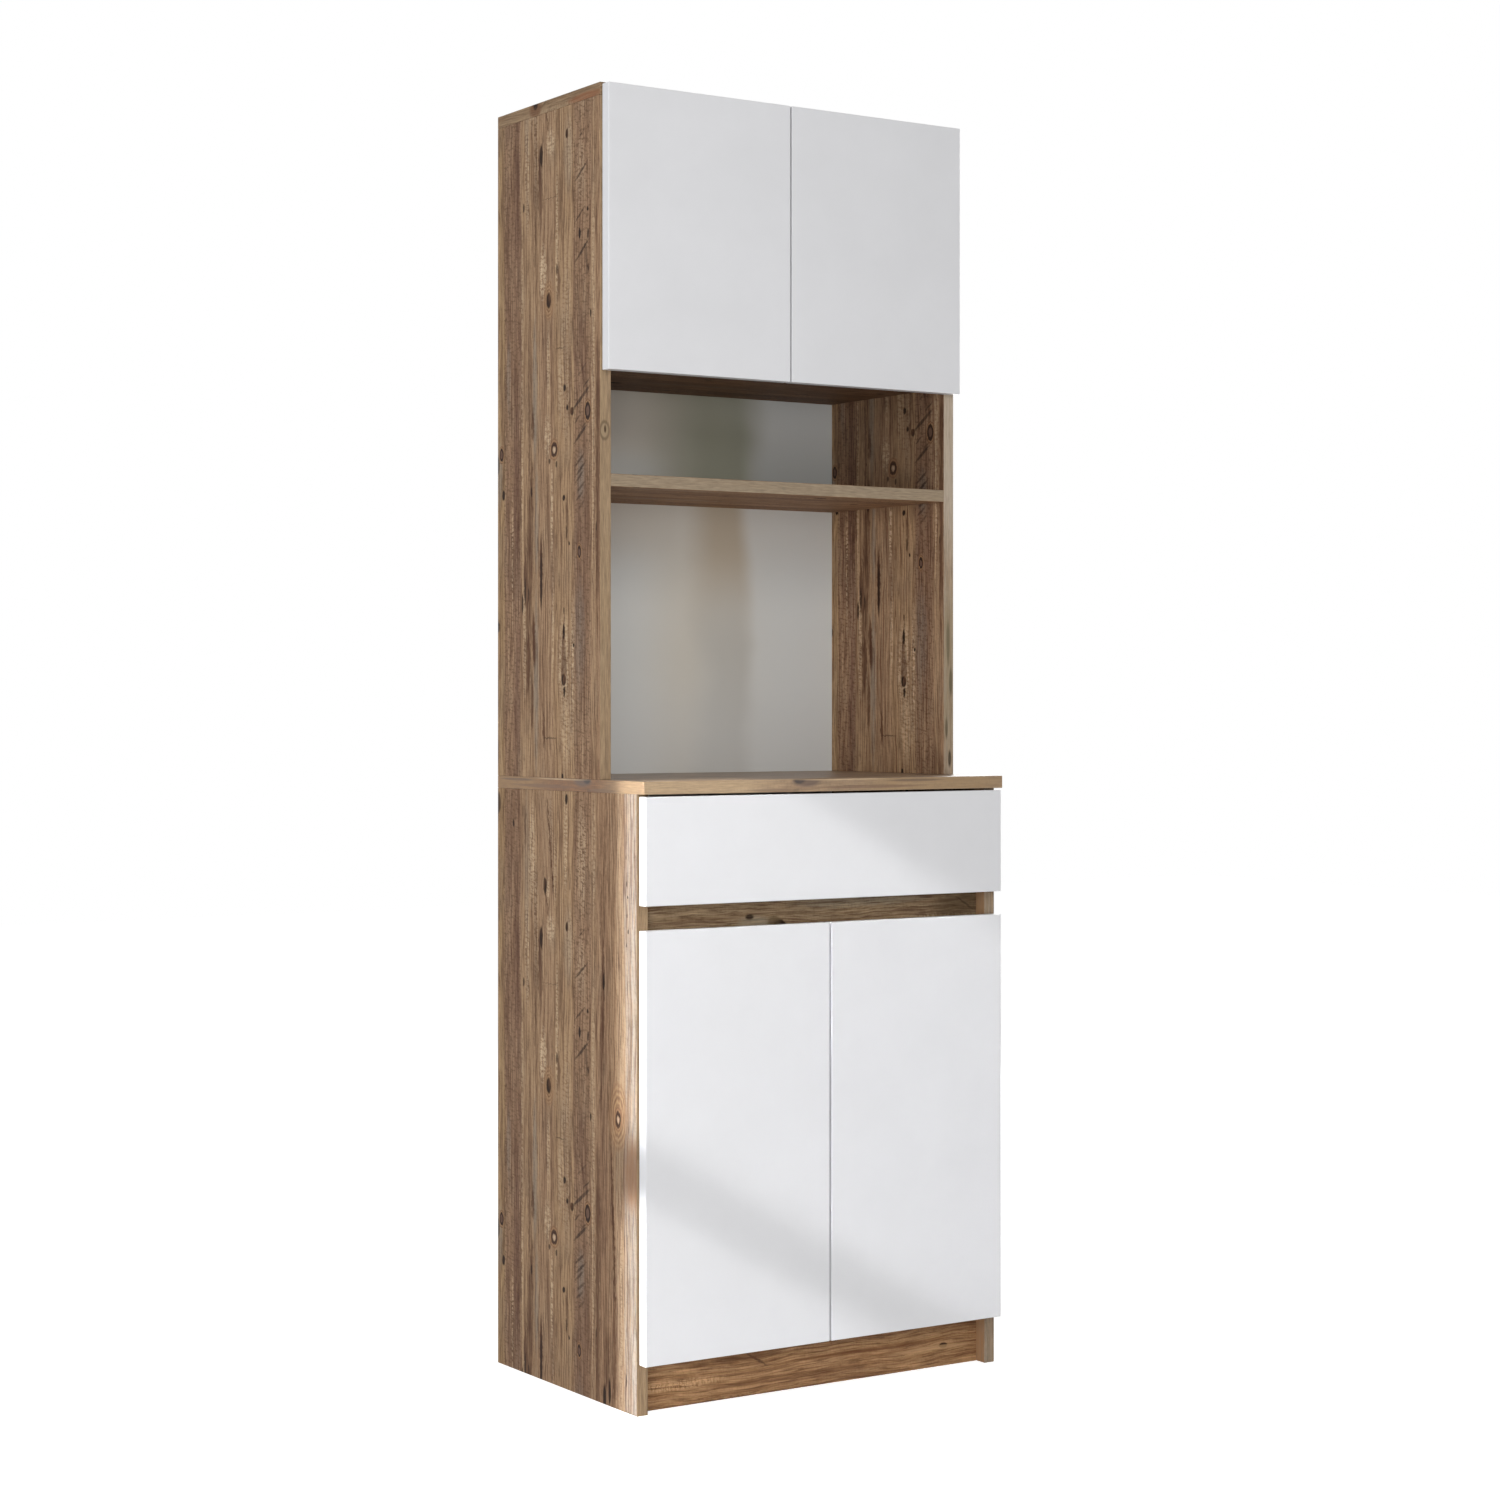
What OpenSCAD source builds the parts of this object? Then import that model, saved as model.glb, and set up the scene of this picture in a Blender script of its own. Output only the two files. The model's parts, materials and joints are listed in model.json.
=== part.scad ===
// Tall kitchen storage cabinet with a set-back hutch, in millimetres.
// The base unit has a pair of doors and one drawer under a worktop. The hutch on the worktop has
// two open niches and a cupboard with a pair of doors. The fronts have no handles.
// The origin is on the floor, in the middle of the cabinet's width and of its depth.
// +Z is up, +X is to the right seen from the front, and +Y is to the wall.

/* [Overall] */
// Width over the outer faces of the two sides
cabinet_w = 620; // [540:10:700]
// Height of the whole cabinet
cabinet_h = 1850; // [1700:10:2050]
// Depth of a base side, from its front edge to the wall
base_d = 400; // [360:5:460]
// Depth of a hutch side, from its front edge to the wall
hutch_d = 300; // [260:5:340]
// Height of the worktop's upper face
worktop_z = 872; // [820:1:950]
// How far the worktop stands out past the front edges of the base sides
worktop_overhang = 20; // [20:0.5:30]
// Thickness of the carcass boards
board_t = 18; // [16:0.5:20]

/* [Fronts] */
// Thickness of the doors and of the drawer front
front_t = 18; // [17:0.5:20]
// Gap between a closed front and the carcass behind it
front_gap = 2; // [2:0.1:3]
// How far a front's edge lies inside the cabinet's outer face
side_reveal = 2.5; // [2:0.1:3]
// Gap between the two doors of a pair
pair_gap = 3; // [2:0.5:5]
// Height of an upper door
upper_door_h = 401; // [380:1:410]
// How far the upper doors' top edges lie below the cabinet's top
upper_reveal = 3; // [2:0.5:5]
// Gap for the fingers between the drawer front and the lower doors
grip_gap = 34; // [28:1:45]
// Height of the drawer front
drawer_front_h = 150; // [145:1:160]
// Gap between the worktop and the drawer front
drawer_reveal = 3; // [2:0.5:5]
// Radius of the rubber buffers that the fronts close against
buffer_r = 4; // [3:0.5:5]
// Distance of a buffer from the middle of the cabinet or from a front's end
buffer_in = 20; // [15:1:30]

/* [Shelves and plinth] */
// Height of the upper doors' lower edges below the cupboard floor, the lip that fingers pull
door_lip = 10; // [6:1:14]
// Height of the upper niche, between the open shelf and the cupboard floor
upper_niche_h = 154; // [110:2:220]
// Height of the inner shelf's underside, where its pegs carry it
inner_shelf_z = 357; // [300:1:400]
// How far the inner shelf's front edge lies behind the base sides' front edges
inner_shelf_setback = 30; // [25:1:60]
// Gap between the inner shelf and what it passes at each side and behind
inner_shelf_gap = 0.5; // [0.4:0.1:1]
// Height of the plinth, which carries the base floor
plinth_h = 66; // [60:1:80]
// How far the lower doors' lower edges lie above the base floor's underside
floor_show = 5; // [3:0.5:8]
// How far the plinth and the grip rail lie behind the base sides' front edges
rail_setback = 20; // [16:1:26]
// How far the grip rail reaches above the lower edge of the drawer front
rail_lap_up = 2; // [1:0.5:5]
// How far the grip rail reaches below the top edges of the lower doors
rail_lap_down = 34; // [30:1:45]

/* [Back panels] */
// Thickness of a back panel
back_t = 3; // [2.5:0.1:4]
// Width of the rebate that holds a back panel in a side
rebate_w = 10; // [8:0.5:11]
// How far a back panel's outer face lies inside the sides' back edges
back_recess = 0.5; // [0.5:0.1:1]
// Gap between a back panel's edge and the rebate's wall
back_gap = 0.5; // [0.2:0.1:1]
// Radius of a panel nail's shank
nail_r = 0.7; // [0.5:0.05:0.9]
// Radius of a panel nail's head
nail_head_r = 1.6; // [1.2:0.1:2]
// Length of a panel nail under its head
nail_len = 20; // [15:1:25]
// Distance of the first and last nails from a side's ends
nail_end = 40; // [30:1:60]
// Spacing of the nails along a level board
nail_pitch = 200; // [150:5:230]

/* [Drawer box] */
// Height of a drawer side
drawer_side_h = 110; // [100:1:114]
// Room behind the drawer's back, to the back edges of the base sides
drawer_room = 52; // [20:1:80]
// Thickness of the drawer's sides and back
drawer_board_t = 15; // [14:0.5:16]
// Height of the drawer sides' lower edges above the drawer front's lower edge
drawer_lift = 14; // [8:1:18]
// Thickness of the drawer bottom
drawer_bottom_t = 3; // [2.5:0.1:4]
// Depth of the groove that holds the drawer bottom
groove_d = 5; // [4:0.5:6]
// Height of the groove's floor above the drawer sides' lower edges
groove_lift = 8; // [6:0.5:12]
// Distance of the outer nails under the drawer back from the middle
bottom_nail_x = 180; // [120:5:220]

/* [Runners] */
// Width that a runner takes between a base side and the drawer side
runner_w = 13; // [12.5:0.1:14]
// Height of the runner's outer member
runner_h = 45; // [42:0.5:46]
// Room behind the runners, to the back edges of the base sides
runner_room = 48; // [10:1:80]
// Thickness of the runner's steel
runner_sheet = 1.2; // [1:0.1:1.4]
// Gap between two members that slide in each other
runner_gap = 0.4; // [0.3:0.05:0.5]
// Depth of the outer member's channel
runner_channel = 11.2; // [10.8:0.1:11.6]
// Height of the lips that keep a member in its channel
runner_lip = 6.5; // [6:0.1:7]
// How far the closed runner's front end lies behind the base side's front edge
runner_setback = 2; // [1:0.5:6]
// Distance of the first and last runner screws from the runner's ends
runner_screw_in = 35; // [25:1:60]

/* [Concealed hinges] */
// Distance of a hinge from an upper door's end
upper_hinge_in = 80; // [75:1:110]
// Distance of a hinge from a lower door's end
lower_hinge_in = 90; // [80:1:130]
// Radius of the hinge cup
cup_r = 17.5; // [17:0.1:18]
// Depth of the hinge cup
cup_depth = 13; // [12:0.1:14]
// Distance of the cup's rim from the door's edge
cup_edge = 3; // [2.8:0.1:3.2]
// Thickness of the cup's wall
cup_wall = 1; // [0.8:0.1:1.2]
// Thickness of the cup's floor
cup_floor = 0.6; // [0.4:0.1:0.8]
// Thickness of the cup's flange on the door's back
flange_t = 1; // [0.8:0.1:1.2]
// Spacing of a cup's two screws
cup_screw_pitch = 45; // [45:0.5:48]
// Distance of the cup's screws from the cup's centre, away from the door's edge
cup_screw_in = 9.5; // [8.5:0.1:10.5]
// Distance of the hinge pin from the door's edge
pin_in = 5.8; // [5.7:0.05:5.9]
// Radius of the hinge pin
pin_r = 0.9; // [0.8:0.05:1]
// Radius of the arm's eye round the pin
eye_r = 1.85; // [1.7:0.05:1.95]
// Width of the hinge arm, along the pin
arm_w = 11; // [10:0.2:11.6]
// Thickness of the hinge arm
arm_t = 2.4; // [2:0.1:2.4]
// Distance of the arm's long leg from the pin
arm_reach = 14; // [13:0.1:15]
// How far the arm reaches into the carcass
arm_l = 56; // [52:1:65]
// Thickness of each cheek beside the arm's eye
cheek_t = 2; // [1.5:0.1:2.4]
// Distance of the mounting plate's screws from the side's front edge
plate_in = 37; // [35:0.5:40]
// Spacing of a mounting plate's two screws
plate_pitch = 32; // [30:0.5:34]
// Distance of the arm's screw from the side's front edge
arm_screw_in = 43; // [40:0.5:46]
// Width of a mounting plate's bars
plate_w = 11; // [10:0.5:12]
// Length of a mounting plate's bar under the arm
plate_l = 34; // [30:1:36]
// Thickness of a mounting plate's wings
wing_t = 2; // [1.5:0.1:2.5]

/* [Connectors] */
// Radius of a cam
cam_r = 7.5; // [7:0.1:8]
// Depth of a cam
cam_depth = 12.5; // [12:0.1:12.8]
// Distance of a cam's centre from the joint
cam_reach = 24; // [22:0.5:30]
// Radius of a cam bolt's shank
bolt_r = 3.4; // [3:0.1:3.6]
// Radius of a cam bolt's neck
neck_r = 1.6; // [1.4:0.1:2]
// Radius of a cam bolt's head
bolt_head_r = 3; // [2.6:0.1:3.2]
// Radius of a cam bolt's threaded end
thread_r = 2.5; // [2.2:0.1:2.8]
// Length of a cam bolt's threaded end
thread_l = 11; // [10:0.5:12]
// Width of the bolt's path in a cam
cam_path = 7.4; // [7.3:0.1:7.8]
// Width of a cam's driver slot
cam_slot = 1.6; // [1.2:0.1:2]
// Radius of a wooden dowel
dowel_r = 4; // [3.5:0.1:4]
// Length of a wooden dowel
dowel_len = 30; // [26:1:34]
// Depth of a dowel in the face of the board that it stands in
dowel_in = 10; // [8:0.5:12]
// Distance of the fixings from a board's front and back edges
fixing_in = 50; // [45:1:60]
// Distance of a dowel from the next cam
dowel_step = 32; // [28:1:50]
// Distance of the rail's and the plinth's cams from their lower edges
rail_cam_in = 13; // [10:0.5:16]
// Distance of the rail's and the plinth's dowels from their upper edges
rail_dowel_in = 10; // [8:0.5:14]
// Distance of the drawer's cams from its bottom and from its sides' upper edges
drawer_cam_in = 19; // [14:0.5:20]

/* [Screws and pegs] */
// Radius of a wood screw's shank
screw_r = 1.7; // [1.5:0.1:1.9]
// Radius of a wood screw's head
screw_head_r = 3.2; // [2.9:0.1:3.5]
// Height of a countersunk head
screw_head_h = 1.2; // [1:0.1:1.4]
// Length of a wood screw in the wood
screw_len = 11; // [9:0.5:13]
// Height of a pan head
pan_head_h = 1.8; // [1.4:0.1:2.2]
// Radius of the screws that hold the drawer back
long_screw_r = 2; // [1.8:0.1:2.4]
// Length of the screws that hold the drawer back
long_screw_len = 40; // [35:1:45]
// Distance of these screws from the drawer back's upper and lower edges
long_screw_in = 17; // [15:0.5:18]
// Radius of a shelf peg
peg_r = 2.5; // [2.3:0.1:2.7]
// Length of a shelf peg in the side
peg_in = 9; // [8:0.5:10]
// How far a shelf peg's tongue stands out from the side
tongue_out = 8; // [6:0.5:10]
// Width of a shelf peg's tongue
tongue_w = 10; // [8:0.5:12]
// Thickness of a shelf peg's tongue
tongue_t = 2.5; // [2:0.1:3]
// Spacing of the peg holes
peg_pitch = 32; // [30:1:34]

/* [Wall brackets] */
// Distance of a wall bracket from the middle of the cabinet
bracket_x = 200; // [150:5:240]
// Width of a wall bracket
bracket_w = 30; // [24:1:40]
// Length of a wall bracket's leg under the top
bracket_leg = 28; // [24:1:34]
// Height of a wall bracket's leg behind
bracket_h = 32; // [28:1:40]
// Thickness of a wall bracket
bracket_t = 2; // [1.5:0.1:2.5]
// Radius of the hole for the wall screw
wall_hole_r = 3; // [2.5:0.1:3.5]
// Height of the wall screw below the underside of the top
wall_hole_drop = 20; // [18:0.5:22]

/* [Hidden] */
$fn = 48;

// Finishes, as red, green and blue
wood_side = [0.61, 0.50, 0.39];
wood_flat = [0.60, 0.49, 0.37];
white = [0.90, 0.90, 0.91];
back_grey = [0.74, 0.74, 0.73];
steel = [0.72, 0.72, 0.74];
zinc = [0.62, 0.62, 0.64];
beech = [0.80, 0.66, 0.47];
clear = [0.85, 0.86, 0.86];

// Clearances
insert_gap = 0.05; // round a fitting that sits in its hole
run_gap = 0.05; // round a pin that turns
end_gap = 0.5; // past the end of a dowel, a bolt or a peg
over = 1; // how far a cutting shape stands out of the board
flat_gap = 0.3; // between a buffer and the front that closes on it
cheek_gap = 0.2; // between the arm's eye and each cheek
rout_gap = 0.2; // round the cheeks in the door
bolt_gap = 0.5; // round a bolt's shank
cheek_in = 0.4; // from the cup's rim to the cheeks
cheek_l = 6.6; // length of a cheek, away from the door's edge
flange_out = 1.5; // from the cup's wall to its flange's edge
ear_wall = 1; // round a cup screw's head

// Main places
side_x = cabinet_w / 2;
inner_x = side_x - board_t;
front_out = max(worktop_overhang, front_gap + front_t);
back_y = (base_d + front_out) / 2;
base_y = back_y - base_d;
hutch_y = back_y - hutch_d;
panel_y = back_y - back_recess - back_t;
worktop_y = base_y - worktop_overhang;
worktop_low = worktop_z - board_t;
top_z = cabinet_h - board_t;
floor_top = plinth_h + board_t;
rail_y = base_y + rail_setback;

// Fronts
door_w = (cabinet_w - 2 * side_reveal - pair_gap) / 2;
front_w = cabinet_w - 2 * side_reveal;
door_x = side_x - side_reveal;
upper_door_top = cabinet_h - upper_reveal;
upper_door_z = upper_door_top - upper_door_h;
cupboard_z = upper_door_z + door_lip;
open_shelf_z = cupboard_z - upper_niche_h;
drawer_z = worktop_low - drawer_reveal - drawer_front_h;
lower_door_z = plinth_h + floor_show;
lower_door_top = drawer_z - grip_gap;
rail_z = lower_door_top - rail_lap_down;
rail_top = drawer_z + rail_lap_up;
upper_hinge_zs = [upper_door_z + upper_hinge_in, upper_door_top - upper_hinge_in];
lower_hinge_zs = [lower_door_z + lower_hinge_in, lower_door_top - lower_hinge_in];

// Drawer box and runners
box_x = inner_x - runner_w;
box_in_x = box_x - drawer_board_t;
box_y = base_y - front_gap;
box_back_y = back_y - drawer_room;
box_z = drawer_z + drawer_lift;
box_top = box_z + drawer_side_h;
groove_z = box_z + groove_lift;
runner_z = box_z + drawer_side_h / 2;
runner_y = base_y + runner_setback;
runner_len = back_y - runner_room - runner_y; // also the drawer's travel
drawer_cam_zs = [groove_z + drawer_bottom_t + drawer_cam_in, box_top - drawer_cam_in];
long_screw_zs = [groove_z + drawer_bottom_t + long_screw_in, box_top - long_screw_in];
back_mid_y = box_back_y - drawer_board_t / 2;
runner_screw_ys = [runner_y + runner_screw_in, runner_y + runner_len / 2,
                   runner_y + runner_len - runner_screw_in];

// Shelf, pegs and fixings
shelf_fix_ys = [hutch_y + fixing_in, back_y - fixing_in];
base_fix_ys = [base_y + fixing_in, back_y - fixing_in];
peg_z = inner_shelf_z - peg_r;
peg_rows = [-2, -1, 0, 1, 2];
rail_mid_y = rail_y + board_t / 2;
hutch_nail_zs = [for (k = [0 : 5]) worktop_z + nail_end + k * (top_z - worktop_z - 2 * nail_end) / 5];
base_nail_zs = [for (k = [0 : 4]) floor_top + nail_end
                + k * (worktop_low - floor_top - 2 * nail_end) / 4];
nail_x = inner_x + rebate_w / 2;
nail_xs = [-nail_pitch, 0, nail_pitch];
nail_head_t = back_recess;

// Hinges, from the door's edge and from its back face
cup_x = cup_edge + cup_r;
pin_deep = cup_depth - cup_floor - eye_r - run_gap;
cheek_low = cup_edge + cheek_in;
cheek_high = cheek_low + cheek_l;
cheek_z = arm_w / 2 + cheek_gap;
cheek_top = cheek_z + cheek_t;
side_plane = board_t - side_reveal;
plate_t = pin_in + arm_reach - side_plane;
plate_end = front_gap + plate_in + plate_l / 2;
plate_start = front_gap + plate_in - plate_l / 2;

// Telescopic runners, from the base side's inner face and from the runner's middle
middle_x = runner_sheet + runner_gap;
middle_h = runner_h / 2 - runner_sheet - runner_gap;
middle_end = runner_channel - runner_sheet - runner_gap;
lip_h = runner_h / 2 - runner_lip;
inner_h = lip_h - runner_gap;

// General helpers

// A board from its low corner to its high corner
module slab(low, high) {
    translate(low) cube(high - low);
}

// The children and their mirror image on the cabinet's other side
module both_sides() {
    children();
    mirror([1, 0, 0]) children();
}

// A cylinder along +Y from its centre point
module along_y(r, l) {
    rotate([-90, 0, 0]) cylinder(r = r, h = l);
}

// A cylinder along +X from its centre point
module along_x(r, l) {
    rotate([0, 90, 0]) cylinder(r = r, h = l);
}

// Cam fittings. Each lies on +Z: the joint is at z = 0, the threaded end points to -Z, and the
// cam's open face points to +X, half a board away from the bolt.

module cam_bolt(through = 0) {
    reach = through + cam_reach;
    rotate_extrude() polygon([
        [0, -thread_l], [thread_r, -thread_l], [thread_r, 0], [bolt_r, 0],
        [bolt_r, reach - cam_r - bolt_gap], [neck_r, reach - cam_r - bolt_gap],
        [neck_r, reach - bolt_head_r], [bolt_head_r, reach - bolt_head_r],
        [bolt_head_r, reach], [0, reach]]);
}

module cam_lock(half_t, through = 0) {
    translate([half_t - cam_depth, 0, through + cam_reach]) difference() {
        along_x(cam_r, cam_depth);
        // Path of the bolt's head, open to the joint and at the cam's middle
        translate([cam_depth - half_t, 0, -cam_r - over])
            cylinder(d = cam_path, h = cam_r + over + bolt_head_r + end_gap);
        // Cross slot for the driver
        translate([cam_depth - over, -cam_r / 2, -cam_slot / 2]) cube([2 * over, cam_r, cam_slot]);
        translate([cam_depth - over, -cam_slot / 2, -cam_r / 2]) cube([2 * over, cam_slot, cam_r]);
    }
}

// Holes of a cam, its bolt and the bolt's thread
module cam_holes(half_t, through = 0) {
    reach = through + cam_reach;
    translate([half_t - cam_depth, 0, reach]) along_x(cam_r + insert_gap, cam_depth + over);
    cylinder(r = bolt_r + bolt_gap, h = reach);
    translate([0, 0, -thread_l - end_gap])
        cylinder(r = thread_r + insert_gap, h = thread_l + end_gap + over);
}

// A dowel on +Z, with its short end below the joint
module dowel() {
    translate([0, 0, -dowel_in]) cylinder(r = dowel_r, h = dowel_len);
}

module dowel_hole() {
    translate([0, 0, -dowel_in - end_gap])
        cylinder(r = dowel_r + insert_gap, h = dowel_len + 2 * end_gap);
}

// A countersunk screw on -Z whose head's face is at z = 0
module flat_screw(r = screw_r, l = screw_len) {
    rotate_extrude() polygon([
        [0, 0], [screw_head_r, 0], [r, -screw_head_h], [r, -screw_head_h - l],
        [0, -screw_head_h - l]]);
}

module flat_screw_hole(r = screw_r, l = screw_len) {
    head_r = screw_head_r + insert_gap;
    rotate_extrude() polygon([
        [0, over], [head_r, over], [head_r, 0], [r + insert_gap, -screw_head_h],
        [r + insert_gap, -screw_head_h - l - end_gap], [0, -screw_head_h - l - end_gap]]);
}

// A pan head screw on -Z whose head stands on z = 0
module pan_screw(l = screw_len) {
    rotate_extrude() polygon([
        [0, pan_head_h], [screw_head_r, pan_head_h], [screw_head_r, 0], [screw_r, 0],
        [screw_r, -l], [0, -l]]);
}

module pan_screw_hole(l = screw_len) {
    translate([0, 0, -l - end_gap]) cylinder(r = screw_r + insert_gap, h = l + end_gap + over);
}

// A panel nail driven along -Z whose head stands on z = 0
module nail() {
    rotate_extrude() polygon([
        [0, nail_head_t], [nail_head_r, nail_head_t], [nail_head_r, 0], [nail_r, 0],
        [nail_r, -nail_len], [0, -nail_len]]);
}

module nail_hole() {
    translate([0, 0, -nail_len - end_gap])
        cylinder(r = nail_r + insert_gap, h = nail_len + end_gap + over);
}

// Places of the fixings on the left side

// Top on the hutch sides, cams in the sides' inner faces
module at_top_joint() {
    for (y = shelf_fix_ys) translate([-inner_x - board_t / 2, y, top_z]) rotate([180, 0, 0]) children();
}

// Worktop between base and hutch sides, cams in the base sides, bolts up into the hutch sides
module at_worktop_joint() {
    for (y = shelf_fix_ys)
        translate([-inner_x - board_t / 2, y, worktop_z]) rotate([180, 0, 0]) children();
}

// End of a level board at a side's inner face, with the cams in its upper face
module at_board_end(ys, z, turn = 180) {
    for (y = ys) translate([-inner_x, y, z + board_t / 2]) rotate([0, 90, 0]) rotate([0, 0, turn])
        children();
}

module at_cupboard_joint() {
    at_board_end(shelf_fix_ys, cupboard_z) children();
}

module at_shelf_joint() {
    at_board_end(shelf_fix_ys, open_shelf_z - board_t) children();
}

// Base floor, with the cams in its underside
module at_floor_joint() {
    at_board_end(base_fix_ys, plinth_h, 0) children();
}

// Rail or plinth on edge, with the cam in its back face
module at_rail_end(z) {
    translate([-inner_x, rail_mid_y, z]) rotate([0, 90, 0]) rotate([0, 0, 90]) children();
}

module at_rail_joint() {
    at_rail_end(rail_z + rail_cam_in) children();
}

module at_plinth_joint() {
    at_rail_end(rail_cam_in) children();
}

module at_rail_dowel() {
    at_rail_end(rail_top - rail_dowel_in) children();
}

module at_plinth_dowel() {
    at_rail_end(plinth_h - rail_dowel_in) children();
}

// Dowels beside the front cams
module at_top_dowel() {
    translate([-inner_x - board_t / 2, shelf_fix_ys[0] + dowel_step, top_z]) rotate([180, 0, 0])
        children();
}

module at_cupboard_dowel() {
    at_board_end([shelf_fix_ys[0] + dowel_step], cupboard_z) children();
}

module at_shelf_dowel() {
    at_board_end([shelf_fix_ys[0] + dowel_step], open_shelf_z - board_t) children();
}

module at_floor_dowel() {
    at_board_end([base_fix_ys[1] - dowel_step], plinth_h) children();
}

// Worktop dowels, which stand in the worktop and in the base side
module at_worktop_dowel() {
    translate([-inner_x - board_t / 2, base_fix_ys[0], worktop_low]) rotate([180, 0, 0])
        children();
}

// Panel nails, which point to the front
module at_nail(x, z) {
    translate([x, back_y - back_recess, z]) rotate([-90, 0, 0]) children();
}

module at_hutch_side_nails() {
    for (z = hutch_nail_zs) at_nail(-nail_x, z) children();
}

module at_board_nails(z) {
    for (x = nail_xs) at_nail(x, z + board_t / 2) children();
}

module at_base_side_nails() {
    for (z = base_nail_zs) at_nail(-nail_x, z) children();
}

// Hinges. The children of at_hinge lie at the pin's height, with the door's edge at x = 0, the
// door's back face at y = 0 and the door's other edge to +X.

module at_hinge(zs, front) {
    for (z = zs) translate([-door_x, front - front_gap, z]) children();
}

module at_upper_hinges() {
    at_hinge(upper_hinge_zs, hutch_y) children();
}

module at_lower_hinges() {
    at_hinge(lower_hinge_zs, base_y) children();
}

module at_all_hinges() {
    both_sides() {
        at_upper_hinges() children();
        at_lower_hinges() children();
    }
}

// Round pocket for the cup, slot for its cheeks and the two screw holes
module cup_pocket() {
    translate([cup_x, -cup_depth, 0]) along_y(cup_r + insert_gap, cup_depth + over);
    slab([cheek_low - rout_gap, -cup_depth, -cheek_top - rout_gap],
         [cheek_high, over, cheek_top + rout_gap]);
    at_cup_screws() pan_screw_hole();
}

module at_cup_screws() {
    for (s = [-1, 1]) translate([cup_x + cup_screw_in, flange_t, s * cup_screw_pitch / 2])
        rotate([-90, 0, 0]) children();
}

module cup_flange() {
    ear_r = screw_head_r + ear_wall;
    intersection() {
        rotate([90, 0, 0]) translate([0, 0, -flange_t]) linear_extrude(flange_t) union() {
            translate([cup_x, 0]) circle(r = cup_r + flange_out);
            translate([cup_x + cup_screw_in - ear_r, -cup_screw_pitch / 2])
                square([2 * ear_r, cup_screw_pitch]);
            for (s = [-1, 1]) translate([cup_x + cup_screw_in, s * cup_screw_pitch / 2]) circle(r = ear_r);
        }
        slab([cheek_low, -over, -cup_screw_pitch], [4 * cup_r, 2 * flange_t, cup_screw_pitch]);
    }
}

// Cup with a flange and two cheeks that carry the pin
module hinge_cup() {
    difference() {
        union() {
            difference() {
                union() {
                    translate([cup_x, -cup_depth, 0]) along_y(cup_r, cup_depth);
                    cup_flange();
                }
                translate([cup_x, -cup_depth + cup_floor, 0])
                    along_y(cup_r - cup_wall, cup_depth + flange_t);
            }
            for (s = [0, 1]) mirror([0, 0, s])
                slab([cheek_low, -cup_depth, cheek_z], [cheek_high, flange_t, cheek_top]);
        }
        // Way of the arm between the cheeks
        slab([0, -cup_depth + cup_floor, -cheek_z], [cheek_high, flange_t + over, cheek_z]);
        translate([pin_in, -pin_deep, -cheek_top - over])
            cylinder(r = pin_r + run_gap, h = 2 * (cheek_top + over));
        at_cup_screws() pan_screw_hole();
    }
}

module hinge_pin() {
    translate([pin_in, -pin_deep, -cheek_top]) cylinder(r = pin_r, h = 2 * cheek_top);
}

// Arm that runs from the pin across the cup and back along the side
module hinge_arm() {
    difference() {
        translate([0, 0, -arm_w / 2]) linear_extrude(arm_w) difference() {
            union() {
                translate([pin_in, -pin_deep]) circle(r = eye_r);
                translate([pin_in, -pin_deep - arm_t / 2]) square([arm_reach + arm_t, arm_t]);
                translate([pin_in + arm_reach, -pin_deep - arm_t / 2])
                    square([arm_t, pin_deep + arm_t / 2 + front_gap + arm_l]);
            }
            translate([pin_in, -pin_deep]) circle(r = pin_r + insert_gap);
        }
        at_arm_screw() pan_screw_hole(arm_t + over);
    }
}

module at_arm_screw() {
    translate([pin_in + arm_reach + arm_t, front_gap + arm_screw_in, 0]) rotate([0, 90, 0]) children();
}

module at_plate_screws() {
    for (s = [-1, 1]) translate([side_plane + wing_t, front_gap + plate_in, s * plate_pitch / 2])
        rotate([0, 90, 0]) children();
}

// Cross-shaped plate that carries the arm on the side
module mounting_plate() {
    wing_z = plate_pitch / 2 + plate_w / 2;
    difference() {
        union() {
            slab([side_plane, plate_start, -plate_w / 2],
                 [side_plane + plate_t, plate_end, plate_w / 2]);
            slab([side_plane, front_gap + plate_in - plate_w / 2, -wing_z],
                 [side_plane + wing_t, front_gap + plate_in + plate_w / 2, wing_z]);
        }
        at_plate_screws() flat_screw_hole();
        at_arm_screw() pan_screw_hole(arm_t + plate_t);
    }
}

// Carcass boards

module base_side() {
    color(wood_side) difference() {
        slab([-side_x, base_y, 0], [-inner_x, back_y, worktop_low]);
        slab([-inner_x - rebate_w, panel_y, plinth_h],
             [-inner_x + over, back_y + over, worktop_low + over]);
        at_worktop_joint() cam_holes(board_t / 2, board_t);
        at_worktop_dowel() dowel_hole();
        at_floor_joint() cam_holes(board_t / 2);
        at_floor_dowel() dowel_hole();
        at_rail_joint() cam_holes(board_t / 2);
        at_rail_dowel() dowel_hole();
        at_plinth_joint() cam_holes(board_t / 2);
        at_plinth_dowel() dowel_hole();
        at_base_side_nails() nail_hole();
        at_lower_hinges() at_plate_screws() flat_screw_hole();
        at_outer_runner_screws() flat_screw_hole();
        for (k = peg_rows) translate([0, 0, k * peg_pitch]) at_pegs()
            along_x(peg_r + insert_gap, peg_in + end_gap + over);
    }
}

module base_side_left() {
    base_side();
}

module base_side_right() {
    mirror([1, 0, 0]) base_side();
}

module base_floor() {
    color(wood_flat) difference() {
        slab([-inner_x, base_y, plinth_h], [inner_x, panel_y, floor_top]);
        both_sides() {
            at_floor_joint() cam_holes(board_t / 2);
            at_floor_dowel() dowel_hole();
        }
        at_board_nails(plinth_h) nail_hole();
    }
}

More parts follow.
